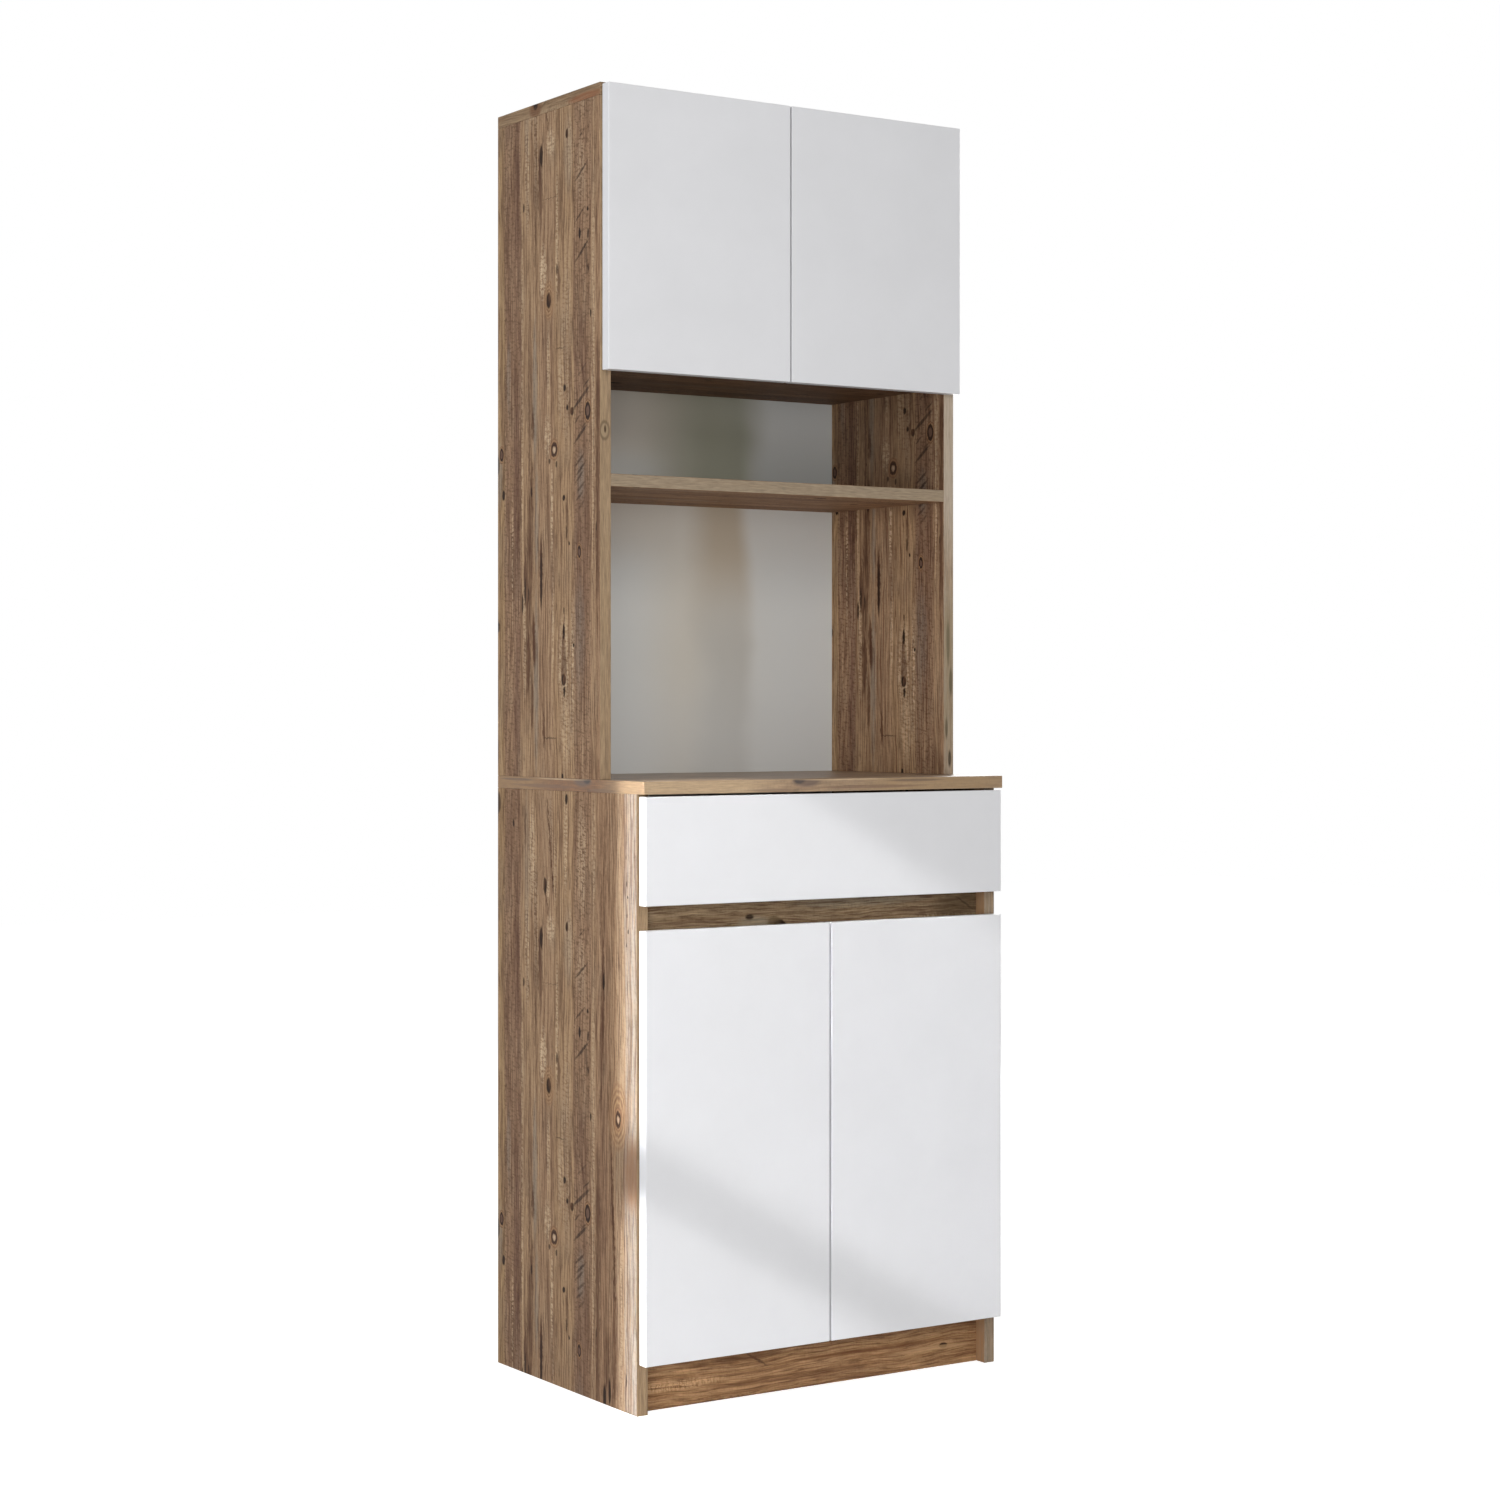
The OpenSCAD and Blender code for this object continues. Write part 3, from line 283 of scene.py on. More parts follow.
SCRATCHES = (
    (248, 601, 26, 2.4, 34, .9), (244, 540, 21, 2.2, 35, .8), (250, 488, 29, 2.8, 36, 1),
    (248, 280, 34, 3.4, 32, 1), (246, 229, 26, 3.4, 34, 1), (243, 192, 19, 2.8, 34, .9),
    (247, 180, 20, 2.8, 34, .9), (242, 168, 18, 2.6, 34, .8), (247, 154, 16, 3, 32, .7),
    (243, 141, 15, 2.8, 32, .7), (249, 129, 12, 2.6, 34, .6), (262, 475, 1.8, 28, 0, .8),
    (158, -203, 24, 1.4, 0, .7), (188, 356, 16, 1.2, 0, .7), (262, 300, 12, 2, 32, .9),
    (255, 240, 12, 2, 34, .6), (250, 655, 14, 1.6, 34, .6), (236, 250, 10, 2, 34, .8),
    (160, 575, 30, .9, 0, .5), (250, 320, 24, 2, 34, .5),
)
SHADES = (
    (59, 160, 12, 210, 0, 1), (250, 60, 28, 260, 0, .95), (36, 760, 18, 130, 0, .6),
    (248, 335, 24, 90, 0, .7), (40, 480, 20, 220, 0, .5), (60, -150, 12, 140, 0, .8),
    (245, 165, 20, 50, 0, .8), (34, 60, 8, 100, 0, .6), (310, 330, 16, 200, 0, .5), (140, 320, 14, 90, 0, .4),
    (59, 600, 9, 160, 0, .6),
)
GREYS = (
    (113, 300, 9, 130, 0, .8), (117, -120, 9, 160, 0, .8), (6, 190, 11, 60, 0, .8), (34, 330, 8, 70, 0, .5),
    (88, 760, 10, 120, 0, .4), (210, 630, 16, 70, 0, .4), (118, 110, 7, 100, 0, .8),
    (242, -60, 20, 100, 0, .5), (90, 690, 8, 60, 0, .4), (246, 170, 14, 44, 0, .6),
)
PALES = (
    (137, 470, 12, 46, 0, 1), (178, 520, 5, 120, 0, .7), (281, 300, 5, 340, 0, .6), (75, 300, 4, 310, 0, .5),
    (150, 232, 12, 36, 0, .8), (163, 120, 4, 80, 0, .8), (166, -30, 4, 100, 0, .6),
    (205, 350, 18, 170, 0, .4), (222, -110, 5, 130, 0, .9), (205, -180, 20, 80, 0, .5),
    (282, 760, 6, 100, 0, .5), (160, 655, 15, 26, 0, .7), (46, 60, 3, 120, 0, .7), (82, -60, 5, 120, 0, .7),
    (203, 780, 6, 90, 0, .7), (172, 740, 8, 60, 0, .4), (215, 640, 12, 50, 0, .4), (152, 330, 6, 60, 0, .6),
    (187, 300, 8, 60, 0, .5), (152, 712, 5, 22, 0, .8), (104, 760, 12, 90, 0, .7), (116, 660, 6, 120, 0, .6),
    (90, 620, 8, 110, 0, .6), (250, 760, 16, 90, 0, .5), (246, 600, 14, 60, 0, .4), (198, -92, 22, 74, 0, .7),
    (160, 800, 8, 60, 0, .5), (358, 120, 4, 150, 0, .5),
)
# Rings from a knot's middle, 0, to its rim, 1: place, colour, cover.
FAINT_RINGS = (
    (0.0, "8C6648", .5), (0.34, "8C6648", .5), (0.42, "B8936B", .7), (0.52, "6B4833", .65),
    (0.6, "BC9871", .55), (0.7, "7A553C", .55), (0.78, "B8936B", .4), (0.87, "80583F", .4),
    (0.93, "A9845F", .2), (1.0, "A07A58", 0),
)
GREY_EYE = (
    (0.0, "5C4438", .95), (0.3, "6E5446", .95), (0.42, "281A13", 1), (0.6, "33221A", 1), (0.7, "A9825E", .75),
    (0.8, "5E3E2C", .75), (0.9, "A58262", .3), (1.0, "A07A58", 0),
)
PALE_EYE = (
    (0.0, "C9B49C", 1), (0.22, "B8997B", 1), (0.36, "38251C", 1), (0.56, "4A3226", .95), (0.68, "A9825E", .7),
    (0.82, "73503A", .6), (1.0, "A07A58", 0),
)

# Noise layers of the print: scale across and along (1/mm), shift across and along, detail, roughness.
PRINT_LAYERS = (
    (0.15, 0.0055, 0, 0, 5, 0.62),      # growth lines
    (0.8, 0.03, 0, 7, 3, 0.6),          # fibres
    (0.3, 0.0045, 31, 0, 3, 0.5),       # long veins
    (0.36, 0.02, 11, 0, 4, 0.65),       # short threads
)
SAW_MARKED = ((45, 25), (250, 24))      # middle and half width of the bands with saw marks
JOINT = 1.5                             # half width of the change of colour at a stave joint
SOFT_RIM, GREY_RIM, FIRM_RIM, KNOT_RIM, SPECK_RIM = 1.7, 2.0, 2.2, 2.4, 3.0     # hardness of the ovals' rims
KNOT_REACH = 3.2                        # the grain bends within this many times a knot's size


def stave_colours(staves):
    """Ramp stops that change the colour at each stave joint."""
    stops = [(0.0, paint(staves[0][1]))]
    for (_, before), (start, after) in zip(staves, staves[1:]):
        stops += [((start - JOINT) / SHEET_WIDTH, paint(before)), ((start + JOINT) / SHEET_WIDTH, paint(after))]
    return stops


def strongest(masks):
    """One mask that is the strongest of several at every point."""
    whole = masks[0]
    for mask in masks[1:]:
        whole = whole.most(mask)
    return whole


def gathered(look, point, ovals, edge):
    """One mask from many ovals, each with its own strength."""
    return strongest([look.spot(point, across, along, width, length, tilt).hardened(edge) * strength
                      for across, along, width, length, tilt, strength in ovals])


def growth_rings(look, point, eyes, rings, wobble, colour):
    """The colour with rings drawn over it round every eye."""
    inside = strongest([look.spot(point, *eye) for eye in eyes])
    ring = look.ramp(1 - inside + wobble, [(at, paint(code, cover)) for at, code, cover in rings])
    return look.blend(Amount(look, ring.outputs[1]), colour, ring.outputs[0])


def pine_sheet(name, staves, marks):
    """The printed pine decor as a node group: where on the sheet, in mm, to colour, height and roughness."""
    tree = bpy.data.node_groups.new(name, "ShaderNodeTree")
    for side, kind, socket in (("INPUT", "NodeSocketFloat", "Across"), ("INPUT", "NodeSocketFloat", "Along"),
                               ("OUTPUT", "NodeSocketColor", "Colour"), ("OUTPUT", "NodeSocketFloat", "Height"),
                               ("OUTPUT", "NodeSocketFloat", "Roughness")):
        tree.interface.new_socket(name=socket, in_out=side, socket_type=kind)
    look = Look(tree)
    start = look.node("NodeGroupInput")
    across, along = (Amount(look, start.outputs[at]) for at in (0, 1))

    # The grain bends round each knot, and wanders a little on its own.
    plain = look.point(across, along)
    grain = across + (look.noise(look.point(across * 0.006, along * 0.0045), detail=3) - 0.5) * 16
    for at, along_at, half, long_half, tilt, _ in marks["knots"]:
        pull = look.spot(plain, at, along_at, half * KNOT_REACH, long_half * KNOT_REACH, tilt,
                         "QUADRATIC_SPHERE")
        grain = grain + (at - across) * pull * 0.8
    lines, fibres, veins, threads = (
        look.noise(look.point(grain * fine + aside, along * coarse + ahead), detail=detail, rough=rough)
        for fine, coarse, aside, ahead, detail, rough in PRINT_LAYERS)
    cloud = look.noise(look.point(across * 0.022, along * 0.009 + 50), detail=3)
    slanted = look.point(across * 0.1, along * 0.3 + across * 0.04 + fibres * 1.5)
    ticks = look.noise(slanted, detail=3, rough=0.6)
    rough_edge = (look.noise(look.point(across * 0.22, along * 0.1), detail=3) - 0.5) * 7
    ragged = look.point(across + rough_edge, along + rough_edge * 2.4)
    crisp = look.point(across + rough_edge * 0.35, along + rough_edge * 0.7)

    # The ground: staves, soft clouds, growth lines and fibres.
    colour = look.ramp((grain / SHEET_WIDTH).held(), stave_colours(staves)).outputs[0]
    colour = look.washed(
        colour, (cloud.eased(0.5, 0.75) * 0.4, "8A7763"), (lines.eased(0.46, 0.66) * 0.6, "62412D"),
        (lines.eased(0.46, 0.3) * 0.45, "C6A785"))
    colour = look.blend(0.26, colour, look.tones(fibres.eased(0.25, 0.75), "4A3222", "D0B08B", 0.0, 1.0))

    # The marks of age: broad ones first, then streaks and veins, saw marks and scratches.
    shades = gathered(look, ragged, marks["shades"], SOFT_RIM)
    greys = gathered(look, ragged, marks["greys"], GREY_RIM) * (0.4 + threads * 0.4)
    pales = gathered(look, ragged, marks["pales"], FIRM_RIM) * (0.3 + threads * 1.1) * ticks.eased(0.62, 0.42)
    streaks = gathered(look, ragged, marks["streaks"], FIRM_RIM) * (0.35 + threads * 1.1)
    sawn = strongest([abs(across - middle) < half for middle, half in SAW_MARKED])
    scratch = gathered(look, crisp, marks["scratches"], KNOT_RIM)
    colour = look.washed(
        colour, (threads.eased(0.44, 0.3) * 0.42, "C9AB8A"), (shades * 0.5, "5B3E35"), (greys, "948E82"),
        (pales, "D9BF9E"), (streaks, "47291A"), (veins.eased(0.55, 0.6) * 0.5, "5E4030"),
        (threads.eased(0.53, 0.66) * 0.6, "4E3426"), (ticks.eased(0.5, 0.66) * (0.14 + sawn * 0.36), "46301F"),
        (scratch * 0.85, "33261F"))

    # Knots: faint rings first, then the dark hearts, then the ones with a pale or a grey eye.
    knot = gathered(look, crisp, marks["knots"], KNOT_RIM)
    wobble = (threads - 0.5) * 0.16
    colour = growth_rings(look, crisp, marks["ringed"], FAINT_RINGS, wobble, colour)
    heart = look.blend(threads.eased(0.3, 0.55), paint("4A2E21"), paint("1F130D"))
    colour = look.blend(knot.eased(0.02, 0.8) * 0.95, colour, heart)
    for key, rings in (("pale_eyed", PALE_EYE), ("grey_eyed", GREY_EYE)):
        if key in marks:
            colour = growth_rings(look, crisp, marks[key], rings, wobble, colour)
    speck = gathered(look, crisp, marks["specks"], SPECK_RIM)
    colour = look.washed(colour, (speck * 0.97, "241710"))

    height = lines * 0.4 + fibres * 0.45 - knot * 0.3 - scratch * 0.4 - speck * 0.3
    roughness = 0.56 + fibres * 0.14 + knot * 0.08
    look.node("NodeGroupOutput", None, {0: colour, 1: height, 2: roughness})
    return tree


UPRIGHT_SHEET = pine_sheet("pine_upright_sheet", STAVES, {
    "knots": KNOTS, "ringed": RINGED, "pale_eyed": PALE_EYED, "grey_eyed": GREY_EYED, "specks": SPECKS,
    "streaks": STREAKS, "scratches": SCRATCHES, "shades": SHADES, "greys": GREYS, "pales": PALES})

LEVEL_SHEET = pine_sheet("pine_level_sheet", (
    (0, "8A7057"), (34, "7A6350"), (72, "917860"), (118, "856C55"), (150, "957B61"), (205, "7C6552"),
    (240, "8F765D"), (290, "866C54"), (338, "94795D")), {
        "knots": ((92, -180, 7, 12, 0, 1), (262, 120, 8, 14, 0, 1), (180, 240, 5, 9, 0, 1)),
        "ringed": ((262, 120, 14, 22),),
        "specks": ((40, -60, 3, 6, 0, 1), (128, 30, 3, 5, 0, 1), (300, -220, 4, 7, 0, 1),
                   (222, -20, 3, 5, 0, 1)),
        "streaks": ((60, 80, 4, 110, 0, .6), (150, -120, 4, 90, 0, .6), (236, 200, 5, 120, 0, .5),
                    (330, 0, 4, 160, 0, .5)),
        "scratches": ((200, -90, 2, 26, 30, .8), (110, 150, 2, 22, 34, .8)),
        "shades": ((50, -200, 16, 170, 0, .5), (220, 60, 20, 220, 0, .5), (310, 160, 16, 120, 0, .5)),
        "greys": ((120, -40, 10, 140, 0, .6), (280, -150, 12, 130, 0, .6)),
        "pales": ((90, 120, 8, 120, 0, .5), (180, -220, 8, 90, 0, .5), (345, 220, 10, 90, 0, .5))})


WALL_SIDE = 210.0           # y of the cabinet's wall side in mm
FRONT_EDGE_SHIFT = 150      # an upright board's front edge takes its print from this far off x = 0
LEVEL_EDGE_SHIFT = 30       # a level board's edges take their print from this far across
EDGE_SKIN = 0.35            # a point this close to a board's end counts as on its end face


def shaded(code, factor):
    """A colour code made darker or lighter."""
    return "".join("%02X" % min(255, round(int(code[at:at + 2], 16) * factor)) for at in (0, 2, 4))


def face_masks(low, high, place):
    """Where a point lies on a board's end faces, as a mask for each axis."""
    return [abs(along_axis - (start + end) / 2 / MM) > (end - start) / 2 / MM - EDGE_SKIN
            for start, end, along_axis in zip(low, high, place)]


def pine_board(node, kind, along_shift=0.0, across_shift=0.0, tint_and_painted_light=None, band="9A8469", band_cover=0.6,
               marks=(), sheen=0.12, end_tint=None, matt=1.0):
    """The decor on one board.

    kind says how the board lies: upright, level or on_edge. band and band_cover colour its edge band. The tint
    multiplies the whole board's colour: on some boards it is painted light, and on the cupboard floor painted
    shade.
    end_tint multiplies the colour of its two ends. matt multiplies the roughness of the faces without a band.
    Each mark is across, along, half width, half length, colour, strength; a few marks are painted highlights
    and shade.
    """
    low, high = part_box(node)
    material, look, shader = new_finish("pine_" + node, Specular_IOR_Level=sheen)
    x, y, z = place = look.place()
    on_x, on_y, on_z = face_masks(low, high, place)
    bottom = low.z / MM
    if kind == "upright":
        sheet, banded = UPRIGHT_SHEET, on_y * (1 - on_x)
        across = on_y.choose(x + FRONT_EDGE_SHIFT, WALL_SIDE - y)
        along = z - along_shift
    elif kind == "level":
        sheet, banded = LEVEL_SHEET, on_x.most(on_y) * (1 - on_z)
        across = banded.choose(z - bottom + LEVEL_EDGE_SHIFT + across_shift, WALL_SIDE - y)
        along = (on_x * (1 - on_z)).choose(y, x) + along_shift
    else:
        sheet, banded = LEVEL_SHEET, on_z * (1 - on_y)
        across = z - bottom + across_shift + on_z * y
        along = x + along_shift
    colour, height, roughness = look.node("Group", {"node_tree": sheet}, {0: across, 1: along}).outputs
    grainy = look.noise(look.point(across * 0.5, along * 0.05), detail=3)
    plain = look.tones(grainy, shaded(band, 0.86), shaded(band, 1.1), 0.25, 0.75)
    colour = look.blend(banded * band_cover, colour, plain)
    if tint_and_painted_light:
        colour = look.stained(colour, tint_and_painted_light)
    if end_tint:
        colour = look.blend(on_x, colour, look.stained(colour, end_tint))
    for at, along_at, half, long_half, code, strength in marks:
        spot = look.spot(look.point(across, along), at, along_at, half, long_half).hardened(FIRM_RIM)
        colour = look.washed(colour, (spot * (0.5 + grainy) * strength, code))
    feed(look, shader, Base_Color=colour, Roughness=Amount(look, roughness) * banded.choose(1.0, matt),
         Normal=look.bump(height, 0.18 * MM))
    return material


# ---------------------------------------------------------------- other finishes

def satin_white(name, code, roughness):
    """Sprayed satin lacquer: a faint orange peel and a slight unevenness in its sheen."""
    material, look, shader = new_finish(name)
    where = look.point(*look.place())
    peel = look.noise(where, 0.35, 2, 0.5, flat=False)
    mist = look.noise(where, 0.012, 3, 0.55, flat=False)
    feed(look, shader, Base_Color=look.tones(mist, shaded(code, 0.992), shaded(code, 1.006)),
         Roughness=roughness + (mist - 0.5) * 0.08, Normal=look.bump(peel, 0.02 * MM, 0.5))
    return material


def pressed_metal(name, code, roughness, stretch):
    """Plated steel with the fine lines of its rolling or barrel polishing."""
    material, look, shader = new_finish(name, Metallic=1.0)
    place = look.place()
    stretched = look.point(*(part * scale for part, scale in zip(place, stretch)))
    lines = look.noise(stretched, 1.0, 4, 0.6, flat=False)
    cloud = look.noise(look.point(*place), 0.06, 3, 0.5, flat=False)
    feed(look, shader, Base_Color=look.tones(cloud * 0.6 + lines * 0.4, shaded(code, 0.9), shaded(code, 1.06)),
         Roughness=roughness + (lines - 0.5) * 0.22 + (cloud - 0.5) * 0.14,
         Normal=look.bump(lines, 0.03 * MM, 0.6))
    return material


REAR_FACE = 208             # the back panels' raw rear face lies beyond this y, in mm


def grey_back():
    """Pale grey lacquer on hardboard, with the board's fine fibre under it."""
    material, look, shader = new_finish("grey_lacquered_hardboard")
    x, y, z = place = look.place()
    where = look.point(*place)
    fibre = look.noise(where, 0.5, 4, 0.6, flat=False)
    mist = look.noise(where, 0.006, 2, 0.5, flat=False)
    rear = y > REAR_FACE
    # Painted reflections, light and shade on the front face, in soft upright zones above and below the open
    # shelf:
    # the blurred room that such a lacquer mirrors, painted shade in the middle of the upper niche, and painted
    # light towards the left side, under the open shelf and at the bottom of the lower niche.
    drift = x + (mist - 0.5) * 70
    upper = z.eased(1288, 1306)
    lower = 1 - upper
    # This mask marks the painted shade in the middle of the upper niche.
    upper_painted_shade = drift.eased(-100, 60) * drift.eased(180, 110)
    # This mask marks a painted reflection band in the middle of the lower niche.
    lower_painted_reflection = drift.eased(5, 75) * drift.eased(150, 108)
    front = look.washed(
        look.tones(mist, "D0C9BA", "D6CFC1"), (x.eased(10, -120) * 0.9, "E4DED2"),
        (x.eased(-60, 220) * 0.95, "D7DAD9"), (lower * z.eased(1170, 1270) * 0.4, "E0DDD6"),
        (upper * drift.eased(110, 175) * (0.9 - z.eased(1330, 1420) * 0.75), "B4B7B4"),
        (upper * upper_painted_shade * (0.78 - z.eased(1390, 1440) * 0.1), "7F8066"),
        (upper * x.eased(20, -80) * z.eased(1385, 1335) * 0.3, "C8D6DC"),
        (lower * lower_painted_reflection * z.eased(1000, 1240) * 0.85, "B9AA93"),
        (lower * lower_painted_reflection * z.eased(1220, 1060) * 0.8, "BCBAB3"),
        (lower * x.eased(40, -100) * z.eased(1270, 1170) * 0.45, "E0EAF0"),
        (z.eased(1060, 900) * 0.35, "DADDDD"))
    raw = look.tones(fibre, "6B4E36", "8A6A4B")
    feed(look, shader, Base_Color=look.blend(rear, front, raw),
         Roughness=0.34 + (fibre - 0.5) * 0.06 + rear * 0.3, Normal=look.bump(fibre, 0.02 * MM, 0.6))
    return material


def beech():
    """Plain beech with fine flecks."""
    material, look, shader = new_finish("beech_dowel_wood")
    fleck = look.noise(look.point(*look.place()), 0.9, 3, 0.6, flat=False)
    feed(look, shader, Base_Color=look.tones(fleck, "A9825A", "C9A578"), Roughness=0.55 + fleck * 0.15,
         Normal=look.bump(fleck, 0.05 * MM))
    return material


def clear_rubber():
    """Clear soft rubber with a little dust on it."""
    material, look, shader = new_finish("clear_soft_rubber", Transmission_Weight=0.85, IOR=1.42)
    dust = look.noise(look.point(*look.place()), 1.6, 2, 0.5, flat=False)
    feed(look, shader, Base_Color=look.tones(dust, "DDE0DF", "EEF0F0"), Roughness=0.18 + dust * 0.16)
    return material


WHITE_FRONT = satin_white("white_satin_lacquer", "E5E5E7", 0.30)
WHITE_BOARD = satin_white("white_melamine", "E0E0DE", 0.42)
GREY_BACK = grey_back()
NICKEL = pressed_metal("nickel_plated_steel", "C6C6C8", 0.26, (0.9, 0.12, 0.9))
ZINC = pressed_metal("zinc_plated_steel", "B4B7BC", 0.38, (0.5, 0.5, 0.5))
RUNNER_STEEL = pressed_metal("rolled_runner_steel", "B9BBBE", 0.30, (1.2, 0.02, 1.2))
BEECH = beech()
RUBBER = clear_rubber()

# The hutch's boards take their print from this far down the sheet.
HUTCH_LIFT = 1132.0
BOARD_LOOKS = {
    # The left base side's mark is a painted shade: a brown patch in the gap between the two low_sun beams on
    # its foremost strip.
    "base_side_left": dict(kind="upright", marks=((390, 330, 30, 60, "A07C60", .85),)),
    # The right base side's long mark puts plain brown wood over the pale foremost staves, whose paleness is a
    # painted highlight.
    "base_side_right": dict(kind="upright", marks=((388, 430, 34, 800, "B08A66", .9),)),
    "hutch_side_left": dict(
        kind="upright", along_shift=HUTCH_LIFT, band="A99277", marks=(
            (-152.4, 230, 9.5, 16, "3C2C20", 1.1), (-152.4, 230, 7.6, 12.8, "A08A6E", 1.3),
            (-151.5, 232, 2.2, 7, "4A382A", .9))),
    # The right hutch side's tint brightens the whole board as painted light on its inner face in the niches.
    # Its first mark is a painted shade over the upper niche.
    "hutch_side_right": dict(
        kind="upright", along_shift=HUTCH_LIFT, tint_and_painted_light=(1.26, 1.26, 1.28), marks=(
            (150, 250, 210, 120, "3A2618", .36), (451, 260, 40, 220, "C4B6A4", .6),
            (455, -120, 4, 26, "4A4030", .8), (447, -190, 3, 20, "3A3024", .8), (450, -60, 4, 40, "5E5542", .8),
            (453, -236, 4, 16, "3A3024", .8), (452, -100, 30, 150, "8A7E62", .35))),
    "base_floor": dict(kind="level", along_shift=60),
    "inner_shelf": dict(kind="level", along_shift=-40),
    # On the worktop the tint is a painted reflection: a pale, cool wash for the sheen on its top at a grazing
    # angle. The darker band keeps it off the front edge, and end_tint takes it back off the ends and makes them
    # darker still. The first mark is a painted highlight at the left of the front edge, and the fourth makes
    # the edge darker towards the right.
    "worktop": dict(
        kind="level", across_shift=8, tint_and_painted_light=(1.14, 1.19, 1.24), band="967855", band_cover=0.55, sheen=0.95,
        matt=0.6, end_tint=(0.63, 0.43, 0.24), marks=(
            (47, -230, 60, 150, "C4AA84", .4), (53, -41, 10, 30, "5E4838", .95), (54, -54, 6, 12, "2E1D14", 1),
            (47, 190, 60, 150, "96784E", .5), (52, 150, 2.4, 60, "5E4630", .8), (44, 70, 3, 110, "6A4C34", .7),
            (41, -100, 3, 50, "6E5640", .6), (55, 20, 2, 90, "C8AC88", .6))),
    "hutch_top": dict(
        kind="level", along_shift=90, across_shift=60, band="947C5E", band_cover=0.4, marks=(
            (100, 185, 16, 22, "6B4630", .7), (105, 185, 7, 8, "2A1A12", 1), (94, 40, 8, 60, "8A5538", .6))),
    # The cupboard floor's tint darkens the whole board: painted shade for its dark underside above the open
    # shelf.
    "cupboard_floor": dict(kind="level", along_shift=-20, across_shift=24, tint_and_painted_light=(0.7, 0.6, 0.53)),
    # The open shelf's tint lightens the whole board: painted light on its underside. Its greyer band keeps the
    # front edge's own colour under the tint.
    "open_shelf": dict(
        kind="level", along_shift=30, across_shift=90, tint_and_painted_light=(1.25, 1.13, 1.06), band="8F8775", band_cover=0.85),
    "plinth": dict(
        kind="on_edge", across_shift=150, along_shift=10, tint_and_painted_light=(1.24, 1.07, 0.86), marks=(
            (168, -40, 5, 160, "5E3A24", .6), (190, 120, 4, 190, "6A4228", .6),
            (204, -120, 5, 120, "5E3A24", .5), (178, 220, 4, 90, "C09A70", .6))),
    "grip_rail": dict(
        kind="on_edge", across_shift=60, along_shift=-120, tint_and_painted_light=(1.1, 1.15, 1.1), marks=(
            (92, -224, 16, 34, "A09A86", .4), (104, -232, 5, 9, "3A2C20", .9), (84, -214, 4, 8, "3A2C20", .8),
            (96, -190, 10, 14, "5A4A34", .7), (95, 150, 60, 70, "4A3A26", .6))),
}


# ---------------------------------------------------------------- shaping tools

SAME_POINT = 0.01 * MM
SAME_PLANE = radians(1)
SHARP = radians(60)


def merged(node):
    """A CAD node's mesh as a bmesh with its triangles joined into flat faces."""
    form = bmesh.new()
    form.from_mesh(NODES[node].data)
    bmesh.ops.remove_doubles(form, verts=form.verts, dist=SAME_POINT)
    bmesh.ops.dissolve_limit(form, angle_limit=SAME_PLANE, verts=form.verts, edges=form.edges)
    return form


def rounded(form, radius, steps, shortest):
    """Rounds the sharp edges that are longer than the shortest one. Both sizes are in mm."""
    sharp = [edge for edge in form.edges
             if edge.is_manifold and edge.calc_length() > shortest * MM and edge.calc_face_angle() > SHARP]
    bmesh.ops.bevel(form, geom=sharp, offset=radius * MM, offset_type="OFFSET", affect="EDGES", segments=steps,
                    profile=0.5, material=-1, clamp_overlap=True)
    return form


def stands_for(node, form, material, smooth=0):
    """Makes the finished piece, which rides with the CAD node's body and hides the node."""
    name = node + "_finished"
    mesh = bpy.data.meshes.new(name)
    form.to_mesh(mesh)
    form.free()
    mesh.materials.append(material)
    if smooth:
        mesh.shade_smooth()
        mesh.set_sharp_from_angle(angle=radians(smooth))
    piece = bpy.data.objects.new(name, mesh)
    bpy.context.scene.collection.objects.link(piece)
    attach(piece, NODES[node]["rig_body"])
    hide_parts(node)


def islands(form):
    """The separate solids of a form, as lists of vertices."""
    left = set(form.verts)
    found = []
    while left:
        stack, solid = [left.pop()], []
        while stack:
            vert = stack.pop()
            solid.append(vert)
            for edge in vert.link_edges:
                other = edge.other_vert(vert)
                if other in left:
                    left.remove(other)
                    stack.append(other)
        found.append(solid)
    return found


ROUND_CORNERS = 10          # a face with more corners than this is a round one
SQUARE_ON = 0.999           # a face whose normal reaches this along an axis lies square to it
SAME_AREA = 0.98            # faces whose areas differ by less than this ratio count as equally wide
CUT_SNAP = 1e-7             # in metres


def driven_faces(form):
    """The head of every fastener: its widest flat round face, or of two such faces the one that is seen."""
    found = []
    for solid in islands(form):
        flats = [face for face in {face for vert in solid for face in vert.link_faces}
                 if len(face.verts) > ROUND_CORNERS and max(abs(c) for c in face.normal) > SQUARE_ON]
        largest = max(face.calc_area() for face in flats)
        wide = [face for face in flats if face.calc_area() > SAME_AREA * largest]
        found.append(min(wide, key=lambda face: face.normal.z + face.normal.x * face.calc_center_bounds().x))
    return found


